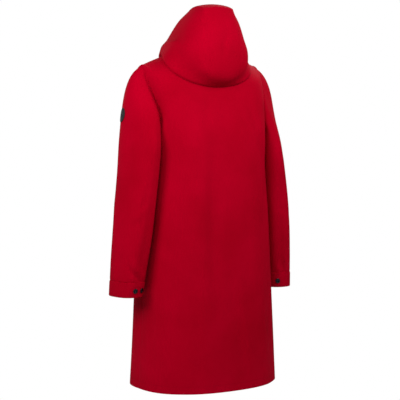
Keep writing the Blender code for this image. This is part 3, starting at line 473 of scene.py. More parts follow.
# %% [markdown]
# ## Pushes
# The coat isn't quite the same on both sides: one shoulder sits lower and one sleeve hangs closer. Soft pushes
# give that. Each moves everything near its centre by one vector, falling off as a bell, so that neighbouring pieces
# move together and their seams stay closed.

# %% Pushes
# centre in metres, reach in metres, movement in millimetres
PUSHES = (
    ((-0.205, 0.060, -0.020), 0.090, (6.0, -5.0, -9.5)),
    ((-0.255, 0.080, -0.150), 0.080, (7.5, -6.0, 0.0)),
    ((-0.255, 0.020, -0.680), 0.130, (0.0, 0.0, -4.0)),
    ((0.255, 0.020, -0.680), 0.130, (0.0, 0.0, 5.5)),
    ((0.000, 0.020, -1.300), 0.500, (0.0, 0.0, -10.0)),
    ((0.270, 0.020, -0.600), 0.300, (3.0, 0.0, 0.0)),
    ((-0.270, 0.020, -0.500), 0.250, (-3.5, 0.0, 0.0)),
)


# The armhole seams are drawn in behind and before the arm, and lie full and smooth over the shoulder: side, first
# and last angle round the armhole, how late the draw is deepest, width and movement in millimetres.
SEAM_DRAWS = (
    (1, 15.0, 205.0, 1.2, 13.0, (-2.5, -5.0, 0.0)),
    (1, 25.0, 200.0, 1.0, 6.5, (-4.5, -12.0, 0.0)),
    (-1, 30.0, 200.0, 1.3, 12.0, (2.0, -4.5, 0.0)),
    (-1, 30.0, 195.0, 1.0, 6.0, (2.5, -9.0, 0.0)),
    (1, 190.0, 335.0, 0.8, 12.0, (-2.0, 5.0, 0.0)),
    (-1, 196.0, 325.0, 0.8, 13.0, (2.5, 4.5, 0.0)),
    (1, -60.0, 60.0, 1.0, 4.0, (1.2, 0.0, 3.4)),
    (-1, -60.0, 60.0, 1.0, 4.0, (-1.2, 0.0, 3.4)),
)
# The rear of each sleeve turns in towards the body: start, middle and end in metres, width and movement in mm.
SLEEVE_DRAWS = (
    ((0.206, 0.098, -0.270), (0.226, 0.094, -0.470), (0.246, 0.078, -0.720), 24.0, (1.5, -11.0, 0.0)),
    ((-0.206, 0.098, -0.300), (-0.222, 0.094, -0.480), (-0.238, 0.080, -0.720), 22.0, (-1.0, -8.0, 0.0)),
)
DRAW_SAMPLES = 48


def mirrored(points, side):
    """The left side's points, or their mirror image for the right."""
    return points * np.array([side, 1, 1])


def drawn(points, line, late, width, movement):
    """Movement of points near a line: a bell across it, swelling and dying along it as a sine."""
    away = ((points[..., None, :] - line) ** 2).sum(-1)
    swell = np.sin(math.pi * (away.argmin(-1) / (len(line) - 1)) ** late)
    share = swell * np.exp(-away.min(-1) / (width * MM) ** 2)
    return share[..., None] * np.array(movement) * MM


def pushed(points):
    """Points moved by the soft pushes, each movement times exp(-(distance / reach)^2), and by the drawn lines."""
    moved = points.copy()
    for centre, reach, movement in PUSHES:
        share = np.exp(-((points - np.array(centre)) ** 2).sum(-1) / reach**2)
        moved += share[..., None] * np.array(movement) * MM
    for side, first, last, late, width, movement in SEAM_DRAWS:
        round_arm = np.mod(np.linspace(first, last, DRAW_SAMPLES) * DEG, 2 * math.pi)
        line = mirrored(body_surface(*armhole_loop(round_arm)), side)
        moved += drawn(points, line, late, width, movement)
    for start, middle, end, width, movement in SLEEVE_DRAWS:
        if abs(points[..., 0].mean()) > 0.2:
            moved += drawn(points, parabola(start, middle, end, DRAW_SAMPLES), 1.0, width, movement)
    return moved


SEAM_ROLL, SOFT_ROLL, ROLL_WIDTH = 1.0 * MM, 0.35 * MM, 3.6 * MM


def rolled(grid, edges, depth):
    """How far a seam edge rolls in: its depth times exp(-(distance to the edge / width)^2), for each named edge."""
    distances = edge_distances(grid)
    return sum(-depth * np.exp(-((distances[edge] / ROLL_WIDTH) ** 2)) for edge in edges)


def dressed(grid, edges=(), closed=False, faces_out=1, roll=SEAM_ROLL):
    """A panel's grid with its creases, rolled edges and pushes, and its normals after that."""
    normals = grid_normals(grid, closed) * faces_out
    height = crease_height(grid, normals) + rolled(grid, edges, roll)
    grid = pushed(grid + normals * height[..., None])
    return grid, grid_normals(grid, closed) * faces_out


# %% [markdown]
# ## The body's panels
# The back is cut in one piece. The two fronts meet at the zip. Each row's columns run between the panel's two
# edges, with a few columns crowded close to each edge for the roll of the seam.

# %% Back and fronts
NEAR_EDGE = np.array([0.25, 0.65, 1.2, 2.0, 3.2, 4.8, 7.0, 10.0]) * MM
SEAM_GAP = -0.12 * MM  # sewn edges cross by this much, so that no light comes through
ZIP_OPEN_HALF = 4.0 * MM


def panel_rows(above, beside, below):
    """Rows and armhole turns of a panel: above the armhole, beside it and below it."""
    turns = np.linspace(0, math.pi, beside + 1)
    top = np.linspace(0, SHOULDER_ROW, above + 1)[:-1]
    hem_fine = HEM_ROW - np.concatenate([NEAR_EDGE[::-1], [0]]) / 0.13
    low = np.concatenate([np.linspace(UNDERARM_ROW, HEM_ROW - 0.10, below + 1)[1:], hem_fine])
    row = np.concatenate([top, armhole_row(turns), low])
    turn = np.concatenate([top * 0, turns, low * 0 + math.pi])
    return row, turn


row, turn = panel_rows(42, 56, 150)
gap = SEAM_GAP / between_rows(BODY["half"], row)
back_edge = 90 * DEG - armhole_bite(turn, BITE_BACK) - gap
front_edge = 90 * DEG + armhole_bite(turn, BITE_FRONT) + gap
zip_edge = math.pi - ZIP_OPEN_HALF / between_rows(BODY["half"], row)


def panel_grid(start, end, columns):
    """Points of the body between two edges, an angle for each row, with columns crowded near both."""
    share = crowded(columns, NEAR_EDGE / 0.45)
    angle = start[:, None] + (end - start)[:, None] * share
    return body_surface(angle, np.repeat(row[:, None], len(share), 1))


# The shoulder and the top of the armhole are pressed flat; the seam rolls in only from behind the arm down.
seam_roll = (SOFT_ROLL + (SEAM_ROLL - SOFT_ROLL) * (1 - np.cos(turn)) / 2)[:, None]
SEWN = {"back": ("first", "last"), "front_left": ("last",), "front_right": ("first",)}
panels = {}
for name, start, end, columns in (
    ("back", back_edge, -back_edge, 84),
    ("front_left", zip_edge, front_edge, 46),
    ("front_right", -front_edge, -zip_edge, 46),
):
    panels[name] = dressed(panel_grid(start, end, columns), ("first", "last"), roll=seam_roll)
    wall("cloth_" + name, *panels[name], sewn=SEWN[name])

# %% [markdown]
# ## Sleeves and cuffs
# A sleeve is a tube whose top edge is the armhole. Its cloth puffs a little beside that seam and is drawn in at the
# cuff, where a separate band is sewn on. Both are closed round the arm.

# %% Sleeves and cuff bands
SLEEVE_AROUND = 104
PUCKER_COUNT, PUCKER_DEPTH, PUCKER_FALL = 17, 0.55 * MM, 16 * MM


def pucker(grid, angle, phase):
    """Small gathers beside the cuff seam: a wave round the arm that dies away up the sleeve."""
    down = running_length(grid, 0)
    up = down[-1:] - down
    wave = np.cos(PUCKER_COUNT * angle + phase) + 0.5 * np.cos(2.7 * angle * 3 + 2 * phase)
    return PUCKER_DEPTH * wave * np.exp(-up / PUCKER_FALL) * np.clip(up / (3 * MM), 0, 1)


angle = np.linspace(0, 2 * math.pi, SLEEVE_AROUND + 1)[:-1]
upper = crowded(44, NEAR_EDGE / 0.22, (True, False))
lower = 1 + (SLEEVE_LAST) * crowded(84, NEAR_EDGE / 0.38, (False, True))
down = np.concatenate([upper, lower[1:]])
grid_angle, grid_down = np.meshgrid(angle, down)
sleeve_roll = SOFT_ROLL + (SEAM_ROLL - SOFT_ROLL) * np.where(down[:, None] < 1, (1 - np.cos(angle)) / 2, 1.0)
cuff_drop = CUFF_HEIGHT * crowded(14, np.array([0.03, 0.07]))
sleeves = {}
for side, word in ((1, "left"), (-1, "right")):
    tube = sleeve_surface(grid_angle, grid_down)
    away = unit(tube[1] - tube[0]) * 2 * SEAM_GAP
    tube[0] += away
    tube = mirrored(tube, side)
    normals = grid_normals(tube, True) * side
    tube = tube + normals * pucker(tube, grid_angle, 0.7 * side)[..., None]
    sleeves[word] = dressed(tube, ("top", "bottom"), True, side, sleeve_roll)
    wall("cloth_sleeve_" + word, *sleeves[word], closed=True, faces_out=side, sewn=("top", "bottom"))
    band_angle, band_drop = np.meshgrid(angle, cuff_drop)
    band = mirrored(cuff_point(band_angle, band_drop + SEAM_GAP, CUFF_PROUD), side)
    sleeves["cuff_" + word] = dressed(band, ("top",), True, side)
    wall("cloth_cuff_" + word, *sleeves["cuff_" + word], closed=True, faces_out=side, sewn=("top",))

# %% [markdown]
# ## The hood
# The hood has two sides and a centre strip that runs from the back of the neck over the crown to the brow. Its
# lower edge rests just clear of the body. The rings above it are a table again, and the top is the seam over the
# crown.

# %% The hood's form
HOOD = read_table(
    "z_back z_side z_front half y_mid y_back y_front square face",
    (
        (-0.057, 0.029, -0.022, 0.123, 0.038, 0.142, -0.110, 2.40, 159.0),
        (-0.014, 0.045, 0.010, 0.116, 0.040, 0.149, -0.104, 2.45, 139.0),
        (0.045, 0.060, 0.050, 0.101, 0.045, 0.144, -0.078, 2.50, 124.0),
        (0.100, 0.103, 0.100, 0.081, 0.055, 0.133, -0.049, 2.50, 116.0),
    ),
)
CROWN_Z_BACK, CROWN_Z_MID, CROWN_Z_FACE = 0.139, 0.147, 0.131
CROWN_Y_BACK, CROWN_Y_FACE = 0.104, 0.019
STRIP_HALF, STRIP_RISE = 50 * MM, 6 * MM
FOLD_BACK_ROW, FOLD_FRONT_ROW, FOLD_FALL = 3.35, 0.30, 1.5
EDGE_LEVELS = ((1.00, -0.0010), (0.97, 0.0080))


def hood_fold_row(angle):
    """Row of the body on which the hood's lower edge lies: low at the back, near the neck edge at the front."""
    return FOLD_FRONT_ROW + (FOLD_BACK_ROW - FOLD_FRONT_ROW) * ((1 + np.cos(angle)) / 2) ** FOLD_FALL


def angle_below(ring_angle):
    """Angle round the body of the lower edge's point on the same spoke as a point of the first ring."""
    angle = np.linspace(0, math.pi, 181)
    at = body_surface(angle, hood_fold_row(angle))
    back = HOOD["y_back"][0] - HOOD["y_mid"][0]
    front = HOOD["y_mid"][0] - HOOD["y_front"][0]
    behind = at[:, 1] - HOOD["y_mid"][0]
    spoke = np.arctan2(at[:, 0] / HOOD["half"][0], behind / np.where(behind > 0, back, front))
    return np.sign(ring_angle) * np.interp(np.abs(ring_angle), spoke, angle)


def crown_point(share, across):
    """Point of the crown: share from its back corner to the brow, across from -1 to 1 over the strip."""
    y = CROWN_Y_BACK + (CROWN_Y_FACE - CROWN_Y_BACK) * share
    ends = CROWN_Z_BACK + (CROWN_Z_FACE - CROWN_Z_BACK) * share
    rise = CROWN_Z_MID - (CROWN_Z_BACK + CROWN_Z_FACE) / 2
    z = ends + rise * 4 * share * (1 - share)
    bow = STRIP_RISE * (1 - across**2)
    return np.stack([STRIP_HALF * across + 0 * share, y + bow * np.cos(share * math.pi), z + bow], -1)


def hood_levels(share, across=None):
    """The hood at each level, for columns given by their share of a side, or by their place across the strip."""
    levels = []
    for row_number in range(len(HOOD["half"])):
        ring = {name: np.full(np.shape(share), values[row_number]) for name, values in HOOD.items()}
        seam = np.arcsin(STRIP_HALF / ring["half"])
        ring_angle = seam + (ring["face"] * DEG - seam) * share if across is None else across * seam
        levels.append(ring_point(ring, ring_angle))
        if row_number == 0:
            below = angle_below(ring_angle)
    for part, out in EDGE_LEVELS[::-1]:
        levels.insert(0, body_point(below, hood_fold_row(below) * part, out))
    last = crown_point(share, 1.0) if across is None else crown_point(share * 0, across)
    return np.stack(levels + [last])


def through_levels(levels, count):
    """A grid through the levels: a cubic in the length run so far, so that its steps are even."""
    middle = levels[:, levels.shape[1] // 2]
    length = np.concatenate([[0], np.cumsum(np.linalg.norm(np.diff(middle, axis=0), axis=-1))])
    wanted = length[-1] * crowded(count, np.array([0.008, 0.018, 0.03, 0.045]))
    station = np.interp(wanted, length, np.arange(len(levels)))
    flat = levels.reshape(len(levels), -1)
    columns = [between_rows(flat[:, k], station) for k in range(flat.shape[1])]
    return np.stack(columns, -1).reshape((len(station),) + levels.shape[1:])


# %% The hood's three pieces
share = crowded(52, NEAR_EDGE / 0.26)
side_grid = through_levels(hood_levels(share), 64)
across = 2 * crowded(26, NEAR_EDGE / 0.10) - 1
lower = through_levels(hood_levels(across * 0, across), 64)
upper_rows = crowded(36, np.array([0.015, 0.03, 0.05]), (False, True))[1:]
upper = np.stack([crown_point(np.full_like(across, s), across) for s in upper_rows])
strip = np.concatenate([lower, upper]) * np.array([1 - SEAM_GAP / STRIP_HALF, 1, 1])
hood = {}
for side, word in ((1, "left"), (-1, "right")):
    grid = mirrored(side_grid + np.array([SEAM_GAP, 0, 0]), side)
    hood[word] = dressed(grid, ("first", "bottom"), False, side, SOFT_ROLL)
    wall("cloth_hood_" + word, *hood[word], faces_out=side, sewn=("first", "bottom"))
hood["centre"] = dressed(strip, ("first", "last"), roll=SOFT_ROLL)
wall("cloth_hood_centre", *hood["centre"], sewn=("first", "last"))

# %% [markdown]
# ## The zip
# Two woven tapes lie behind the fronts, and a row of moulded teeth closes the slot between them. A tooth is one
# small rounded block; it is worked out once and set down again and again, left and right in turn.

# %% Small rounded shapes, set down many times
def bead(around, rings, square):
    """A closed rounded unit shape: a superellipsoid, whose cosines and sines are raised to the power given."""
    rise = np.linspace(-math.pi / 2, math.pi / 2, rings + 2)[1:-1]
    turn = np.arange(around) * 2 * math.pi / around
    rise, turn = np.meshgrid(rise, turn, indexing="ij")
    power = lambda values: np.sign(values) * np.abs(values) ** square
    ring_points = np.stack([power(np.cos(rise)) * power(np.cos(turn)), power(np.sin(rise)),
                            power(np.cos(rise)) * power(np.sin(turn))], -1)
    points = np.concatenate([ring_points.reshape(-1, 3), [[0, -1, 0], [0, 1, 0]]])
    index = np.arange(rings * around).reshape(rings, around)
    here, after = index, np.roll(index, -1, 1)
    low = np.stack([here[:-1], here[1:], after[1:]], -1).reshape(-1, 3)
    high = np.stack([here[:-1], after[1:], after[:-1]], -1).reshape(-1, 3)
    start = np.stack([np.full(around, rings * around), here[0], after[0]], -1)
    end = np.stack([np.full(around, rings * around + 1), after[-1], here[-1]], -1)
    return points, np.concatenate([low, high, start, end])


def set_down(name, shape, centres, across, along, out, size):
    """Copies of a shape at many places, sized along each place's own three directions."""
    points, faces = shape
    placed = centres[:, None] + sum(
        points[None, :, k : k + 1] * direction[:, None] * size[k]
        for k, direction in enumerate((across, along, out))
    )
    shift = np.arange(len(centres))[:, None, None] * len(points)
    every = (faces[None] + shift).reshape(-1, 3)
    made = mesh_object(name, placed.reshape(-1, 3), every)
    print(f"{name}: {len(centres)} copies, {len(every)} triangles")
    return made


# %% Zip tapes and teeth
TAPE_HALF, TAPE_THICK, TAPE_CLEAR, TEETH_PITCH = 14.0 * MM, 1.0 * MM, 0.06 * MM, 1.45 * MM
TOOTH = (1.75 * MM, 0.62 * MM, 1.05 * MM)  # half sizes across, along and out
front_rows = np.linspace(0, HEM_ROW, 260)
tape_across = np.linspace(-1, 1, 15)
tape_angle = math.pi - TAPE_HALF * tape_across / between_rows(BODY["half"], front_rows)[:, None]
tape_rows = np.repeat(front_rows[:, None], len(tape_across), 1)
tape_grid = body_point(tape_angle, tape_rows, -CLOTH - TAPE_CLEAR)
zip_tape = wall("zip_tape_woven", tape_grid, grid_normals(tape_grid), TAPE_THICK)

middle = body_point(np.full(1600, math.pi), np.linspace(0.02, HEM_ROW - 0.02, 1600), -1.0 * MM)
length = running_length(middle, 0)
stations = np.arange(TEETH_PITCH, length[-1], TEETH_PITCH)
row_at = np.interp(stations, length, np.linspace(0.02, HEM_ROW - 0.02, 1600))
on_line = body_point(np.full(len(row_at), math.pi), row_at, -1.0 * MM)
tooth_out = surface_normal(body_surface, np.full(len(row_at), math.pi), row_at)
tooth_along = unit(np.gradient(on_line, axis=0))
tooth_across = np.cross(tooth_along, tooth_out)
turn_about = np.where(np.arange(len(row_at)) % 2 == 0, 1.0, -1.0)[:, None]
zip_teeth = set_down("zip_teeth_moulded", bead(8, 5, 0.55), on_line + tooth_across * turn_about * 1.0 * MM,
                     tooth_across, tooth_along, tooth_out, TOOTH)


# %% [markdown]
# ## Snaps and the badge
# A snap's cap is turned: a profile of radii and heights, swept round its axis. The badge is a thin moulded disc that
# follows the sleeve, with a raised rim and a bare middle.

# %% Snap caps
SNAP_RADIUS, SNAP_HEIGHT, SNAP_DOWN = 7.4 * MM, 2.7 * MM, 0.55
SNAP_PLACES = (
    ("snap_left_1", 1, 78.0), ("snap_left_2", 1, 110.0),
    ("snap_right_1", -1, 111.0), ("snap_right_2", -1, 147.0),
)
# radius and height as shares, from the middle of the dimple over the rim to the foot
SNAP_PROFILE = np.array((
    (0.0, 0.66), (0.22, 0.67), (0.34, 0.72), (0.40, 0.86), (0.45, 0.95), (0.52, 0.985), (0.66, 1.0), (0.80, 0.97),
    (0.90, 0.88), (0.97, 0.70), (1.0, 0.48), (0.995, 0.25), (0.96, 0.06), (0.95, 0.0), (0.0, 0.0),
))


def turned(name, profile, at, outward, around=48):
    """A profile of radii and heights swept round an axis: radius times cosine and sine, and height along it."""
    side = unit(np.cross(outward, [0.0, 0.0, 1.0]))
    up = np.cross(outward, side)
    turn = np.arange(around) * 2 * math.pi / around
    ring = side * np.cos(turn)[:, None] + up * np.sin(turn)[:, None]
    radius, height = profile[1:-1].T
    grid = at + ring[None] * radius[:, None, None] + outward * height[:, None, None]
    index = np.arange(grid[..., 0].size).reshape(grid.shape[:2])
    after = np.roll(index, -1, 1)
    low = np.stack([index[:-1], after[1:], index[1:]], -1).reshape(-1, 3)
    high = np.stack([index[:-1], after[:-1], after[1:]], -1).reshape(-1, 3)
    top = np.stack([np.full(around, grid[..., 0].size), after[0], index[0]], -1)
    foot = np.stack([np.full(around, grid[..., 0].size + 1), index[-1], after[-1]], -1)
    ends = [at + outward * profile[0, 1], at + outward * profile[-1, 1]]
    made = mesh_object(name, np.concatenate([grid.reshape(-1, 3), ends]), np.concatenate([low, high, top, foot]))
    print(f"{name}: {len(made.data.polygons)} triangles at", np.round(at, 3))
    return made


snaps = {}
for name, side, degrees in SNAP_PLACES:
    at_angle, at_drop = np.array(degrees * DEG), np.array(CUFF_HEIGHT * SNAP_DOWN)
    around = cuff_point(at_angle + 1e-3, at_drop, CUFF_PROUD) - cuff_point(at_angle - 1e-3, at_drop, CUFF_PROUD)
    below = cuff_point(at_angle, at_drop + 1e-3, CUFF_PROUD) - cuff_point(at_angle, at_drop - 1e-3, CUFF_PROUD)
    outward = unit(np.cross(below, around))
    at = cuff_point(at_angle, at_drop, CUFF_PROUD) + outward * 0.2 * MM
    profile = SNAP_PROFILE * np.array([SNAP_RADIUS, SNAP_HEIGHT])
    snaps[name] = turned(name + "_cap", profile, pushed(mirrored(at, side)), mirrored(outward, side))

# %% Badge
BADGE_RADIUS, BADGE_THICK, BADGE_ANGLE, BADGE_DOWN = 19.0 * MM, 1.4 * MM, -24.0, 0.61
# radius as a share, and how far the face stands out of the middle, in millimetres
BADGE_PROFILE = ((0.0, 0.0), (0.3, 0.0), (0.6, 0.0), (0.78, 0.0), (0.81, 0.1), (0.835, 0.4), (0.86, 0.5),
                 (0.91, 0.52), (0.95, 0.46), (0.98, 0.28), (0.995, 0.0), (1.0, -0.4), (1.0, -0.9))
spokes = np.arange(96) * 2 * math.pi / 96
centre_angle, step = BADGE_ANGLE * DEG, 1e-3
around = sleeve_surface(centre_angle + step, BADGE_DOWN) - sleeve_surface(centre_angle - step, BADGE_DOWN)
downward = sleeve_surface(centre_angle, BADGE_DOWN + step) - sleeve_surface(centre_angle, BADGE_DOWN - step)
share, lift = np.array(BADGE_PROFILE).T
reach = np.maximum(share, 1e-4)[:, None] * BADGE_RADIUS
badge_angle = centre_angle + reach * np.cos(spokes) * 2 * step / np.linalg.norm(around)
badge_down = BADGE_DOWN + reach * np.sin(spokes) * 2 * step / np.linalg.norm(downward)
face = sleeve_surface(badge_angle, badge_down)
face_normal = -surface_normal(sleeve_surface, badge_angle, badge_down)
height = crease_height(face, face_normal) + BADGE_THICK + (lift * MM)[:, None]
badge_grid = pushed(face + face_normal * height[..., None])
badge = wall("badge_disc", badge_grid, -grid_normals(badge_grid, True), 0.5 * MM, True, -1)


# %% [markdown]
# ## Stitches
# Topstitching holds the hem, the cuffs, the zip's edges and the hood's face edge. Each stitch is a short thread that
# lies on the cloth and dips into it at both ends. The lines run at a steady distance from an edge.

# %% Lines at a distance from an edge, and the stitches on them
STITCH_PITCH, STITCH_LENGTH, THREAD = 3.2 * MM, 2.6 * MM, 0.26 * MM


def line_from_edge(grid, edge, distance):
    """Points of a grid at a distance along the cloth from one edge, between the two rows or columns beside it."""
    grid = np.swapaxes(grid, 0, 1) if edge in ("first", "last") else grid
    grid = grid[::-1] if edge in ("last", "bottom") else grid
    run = running_length(grid, 0)
    above = np.clip((run < distance).sum(0) - 1, 0, len(grid) - 2)[None]
    near, far = np.take_along_axis(run, above, 0)[0], np.take_along_axis(run, above + 1, 0)[0]
    t = np.clip((distance - near) / (far - near), 0, 1)[:, None]
    pick = above[..., None]
    return np.take_along_axis(grid, pick, 0)[0] * (1 - t) + np.take_along_axis(grid, pick + 1, 0)[0] * t


def stitch_line(grid, normals, edge, distance, closed=False):
    """Centres and directions of the stitches on one line: even steps in its length."""
    line, out = line_from_edge(grid, edge, distance), line_from_edge(normals, edge, distance)
    out = out_at_line(grid, normals, edge, distance)
    if closed:
        line, out = np.concatenate([line, line[:1]]), np.concatenate([out, out[:1]])
    run = running_length(line, 0)
    stations = np.arange(STITCH_PITCH, run[-1] - STITCH_PITCH / 2, STITCH_PITCH)
    centre = np.stack([np.interp(stations, run, line[:, k]) for k in range(3)], -1)
    out = unit(np.stack([np.interp(stations, run, out[:, k]) for k in range(3)], -1))
    along = unit(np.gradient(centre, axis=0))
    return centre + out * THREAD * 0.45, along, out


def out_at_line(grid, normals, edge, distance):
    """Normals on the same line as line_from_edge gives, from the nearest row or column."""
    grid = np.swapaxes(grid, 0, 1) if edge in ("first", "last") else grid
    normals = np.swapaxes(normals, 0, 1) if edge in ("first", "last") else normals
    if edge in ("last", "bottom"):
        grid, normals = grid[::-1], normals[::-1]
    nearest = np.abs(running_length(grid, 0) - distance).argmin(0)
    return np.take_along_axis(normals, nearest[None, :, None], 0)[0]


def stitched(name, lines):
    """One object of thread for all the stitch lines of a piece."""
    centre, along, out = (np.concatenate(parts) for parts in zip(*lines))
    across = np.cross(along, out)
    return set_down(name, bead(6, 3, 1.0), centre, across, along, out, (THREAD, STITCH_LENGTH / 2, THREAD * 0.8))


HEM_LINE, ZIP_LINE, CUFF_LINE, FACE_LINE = 22 * MM, 6 * MM, 4 * MM, 18 * MM
threads = {
    "back": stitched("thread_back", [stitch_line(*panels["back"], "bottom", HEM_LINE)]),
    "front_left": stitched("thread_front_left", [
        stitch_line(*panels["front_left"], "bottom", HEM_LINE), stitch_line(*panels["front_left"], "first", ZIP_LINE),
    ]),
    "front_right": stitched("thread_front_right", [
        stitch_line(*panels["front_right"], "bottom", HEM_LINE), stitch_line(*panels["front_right"], "last", ZIP_LINE),
    ]),
    "hood_centre": stitched("thread_hood_centre", [stitch_line(*hood["centre"], "bottom", FACE_LINE)]),
}
for word in ("left", "right"):
    threads["cuff_" + word] = stitched("thread_cuff_" + word, [
        stitch_line(*sleeves["cuff_" + word], "top", CUFF_LINE, True),
        stitch_line(*sleeves["cuff_" + word], "bottom", CUFF_LINE, True),
    ])
    threads["hood_" + word] = stitched("thread_hood_" + word, [stitch_line(*hood[word], "last", FACE_LINE)])


# %% [markdown]
# ## Materials
# The cloth is a bonded polyester softshell: a matt woven face whose threads are finer than half a millimetre, on a
# smooth membrane. It scatters light evenly, lifts a little at grazing angles, and shows its weave only from close by.

# %% Node helpers
def linear(hex_colour):
    """An sRGB hex colour as linear red, green, blue and alpha."""
    channels = np.array([int(hex_colour[k : k + 2], 16) / 255 for k in (1, 3, 5)])
    value = np.where(channels <= 0.04045, channels / 12.92, ((channels + 0.055) / 1.055) ** 2.4)
    return (*value.tolist(), 1.0)


def node(material, kind, settings=None, inputs=None):
    """Adds a node, sets its properties, and fills or links its named inputs."""
    made = material.node_tree.nodes.new(kind)
    for key, value in (settings or {}).items():
        setattr(made, key, value)
    for key, value in (inputs or {}).items():
        if isinstance(value, bpy.types.NodeSocket):
            material.node_tree.links.new(value, made.inputs[key])
        else:
            made.inputs[key].default_value = value
    return made


def new_material(name, base, roughness, **shader_values):
    """A material with its shader's sockets set, and the shader and the links to add to."""
    material = bpy.data.materials.new(name)
    material.use_nodes = True
    material.diffuse_color = linear(base)
    shader = material.node_tree.nodes["Principled BSDF"]
    shader.inputs["Base Color"].default_value = linear(base)
    shader.inputs["Roughness"].default_value = roughness
    for key, value in shader_values.items():
        shader.inputs[key.replace("_", " ")].default_value = value
    return material, shader


def link(material, output, socket):
    material.node_tree.links.new(output, socket)


# %% Cloth
CLOTH_RED, CLOTH_DEEP, CLOTH_PALE = "#A0001A", "#980017", "#A8001E"
WEAVE_DRAWN = 0.9 * MM  # the real threads lie about 0.4 mm apart; drawn coarser so that they can be seen


def woven_cloth(name, deep, middle, pale, weave, bump, roughness):
    """Polyester cloth woven plain: two crossed waves of thread on the UVs in metres, and slow uneven shade."""
    material, shader = new_material(name, middle, roughness, Specular_IOR_Level=0.03, Sheen_Weight=0.04,
                                    Sheen_Roughness=0.5)
    shader.inputs["Sheen Tint"].default_value = linear(pale)
    shader.inputs["Specular Tint"].default_value = linear(pale)
    place = node(material, "ShaderNodeTexCoord")
    flat = node(material, "ShaderNodeUVMap", {"uv_map": "cloth"})
    slow = node(material, "ShaderNodeTexNoise", {}, {"Vector": place.outputs["Object"], "Scale": 7.0, "Detail": 3.0})
    fine = node(material, "ShaderNodeTexNoise", {}, {"Vector": flat.outputs["UV"], "Scale": 0.35 / weave, "Detail": 4.0})
    mixed = node(material, "ShaderNodeMath", {"operation": "MULTIPLY_ADD"},
                 {0: fine.outputs["Fac"], 1: 0.35, 2: slow.outputs["Fac"]})
    shade = node(material, "ShaderNodeValToRGB", {}, {"Fac": mixed.outputs[0]})
    shade.color_ramp.elements[0].position, shade.color_ramp.elements[0].color = 0.45, linear(deep)
    shade.color_ramp.elements[1].position, shade.color_ramp.elements[1].color = 0.92, linear(pale)
    link(material, shade.outputs["Color"], shader.inputs["Base Color"])
    waves = [
        node(material, "ShaderNodeTexWave", {"wave_type": "BANDS", "bands_direction": direction},
             {"Vector": flat.outputs["UV"], "Scale": 0.314 / weave, "Distortion": 0.6, "Detail": 1.0})
        for direction in ("X", "Y")
    ]
    crossed = node(material, "ShaderNodeMath", {"operation": "MULTIPLY"},
                   {0: waves[0].outputs["Fac"], 1: waves[1].outputs["Fac"]})
    relief = node(material, "ShaderNodeMath", {"operation": "MULTIPLY_ADD"},
                  {0: fine.outputs["Fac"], 1: 0.5, 2: crossed.outputs[0]})
    raised = node(material, "ShaderNodeBump", {}, {"Height": relief.outputs[0], "Strength": bump, "Distance": 0.1 * MM})
    link(material, raised.outputs["Normal"], shader.inputs["Normal"])
    gloss = node(material, "ShaderNodeMapRange", {}, {"Value": fine.outputs["Fac"], "To Min": roughness - 0.07,
                                                      "To Max": roughness + 0.07})
    link(material, gloss.outputs["Result"], shader.inputs["Roughness"])
    return material


softshell = woven_cloth("polyester_softshell_woven", CLOTH_DEEP, CLOTH_RED, CLOTH_PALE, WEAVE_DRAWN, 0.35, 0.74)
tape_cloth = woven_cloth("polyester_tape_woven", "#5E0410", "#6E0614", "#7C0A1A", 0.7 * MM, 0.5, 0.8)
print("cloth", softshell.name, tape_cloth.name)

# %% [markdown]
# Thread is spun polyester with a little shine. The teeth are moulded acetal, the snaps and the slider are plated
# zinc and brass in gunmetal, worn a touch brighter in patches, and the badge is moulded rubber with a dull grain.

# %% Thread, plastic, metal and rubber
thread, shader = new_material("polyester_thread_spun", "#8E0018", 0.7, Specular_IOR_Level=0.05)
place = node(thread, "ShaderNodeTexCoord")
strands = node(thread, "ShaderNodeTexNoise", {}, {"Vector": place.outputs["Object"], "Scale": 2600.0, "Detail": 1.0})
raised = node(thread, "ShaderNodeBump", {}, {"Height": strands.outputs["Fac"], "Strength": 0.4, "Distance": 0.08 * MM})
link(thread, raised.outputs["Normal"], shader.inputs["Normal"])

acetal, shader = new_material("acetal_moulded", "#4A0610", 0.38, Specular_IOR_Level=0.5)
place = node(acetal, "ShaderNodeTexCoord")
flow = node(acetal, "ShaderNodeTexNoise", {}, {"Vector": place.outputs["Object"], "Scale": 900.0, "Detail": 2.0})
gloss = node(acetal, "ShaderNodeMapRange", {}, {"Value": flow.outputs["Fac"], "To Min": 0.3, "To Max": 0.48})
link(acetal, gloss.outputs["Result"], shader.inputs["Roughness"])

gunmetal, shader = new_material("zinc_plated_gunmetal", "#26262A", 0.32, Metallic=1.0)
place = node(gunmetal, "ShaderNodeTexCoord")
rub = node(gunmetal, "ShaderNodeTexNoise", {}, {"Vector": place.outputs["Object"], "Scale": 420.0, "Detail": 5.0})
wear = node(gunmetal, "ShaderNodeValToRGB", {}, {"Fac": rub.outputs["Fac"]})
wear.color_ramp.elements[0].position, wear.color_ramp.elements[0].color = 0.40, linear("#1E1E22")
wear.color_ramp.elements[1].position, wear.color_ramp.elements[1].color = 0.72, linear("#3E3E44")
link(gunmetal, wear.outputs["Color"], shader.inputs["Base Color"])
gloss = node(gunmetal, "ShaderNodeMapRange", {}, {"Value": rub.outputs["Fac"], "To Min": 0.44, "To Max": 0.26})
link(gunmetal, gloss.outputs["Result"], shader.inputs["Roughness"])

rubber, shader = new_material("rubber_moulded_matt", "#0D0D0F", 0.62, Specular_IOR_Level=0.35)
place = node(rubber, "ShaderNodeTexCoord")
grain = node(rubber, "ShaderNodeTexNoise", {}, {"Vector": place.outputs["Object"], "Scale": 1500.0, "Detail": 2.0})
raised = node(rubber, "ShaderNodeBump", {}, {"Height": grain.outputs["Fac"], "Strength": 0.35, "Distance": 0.1 * MM})
link(rubber, raised.outputs["Normal"], shader.inputs["Normal"])
print("materials", [m.name for m in (thread, acetal, gunmetal, rubber)])
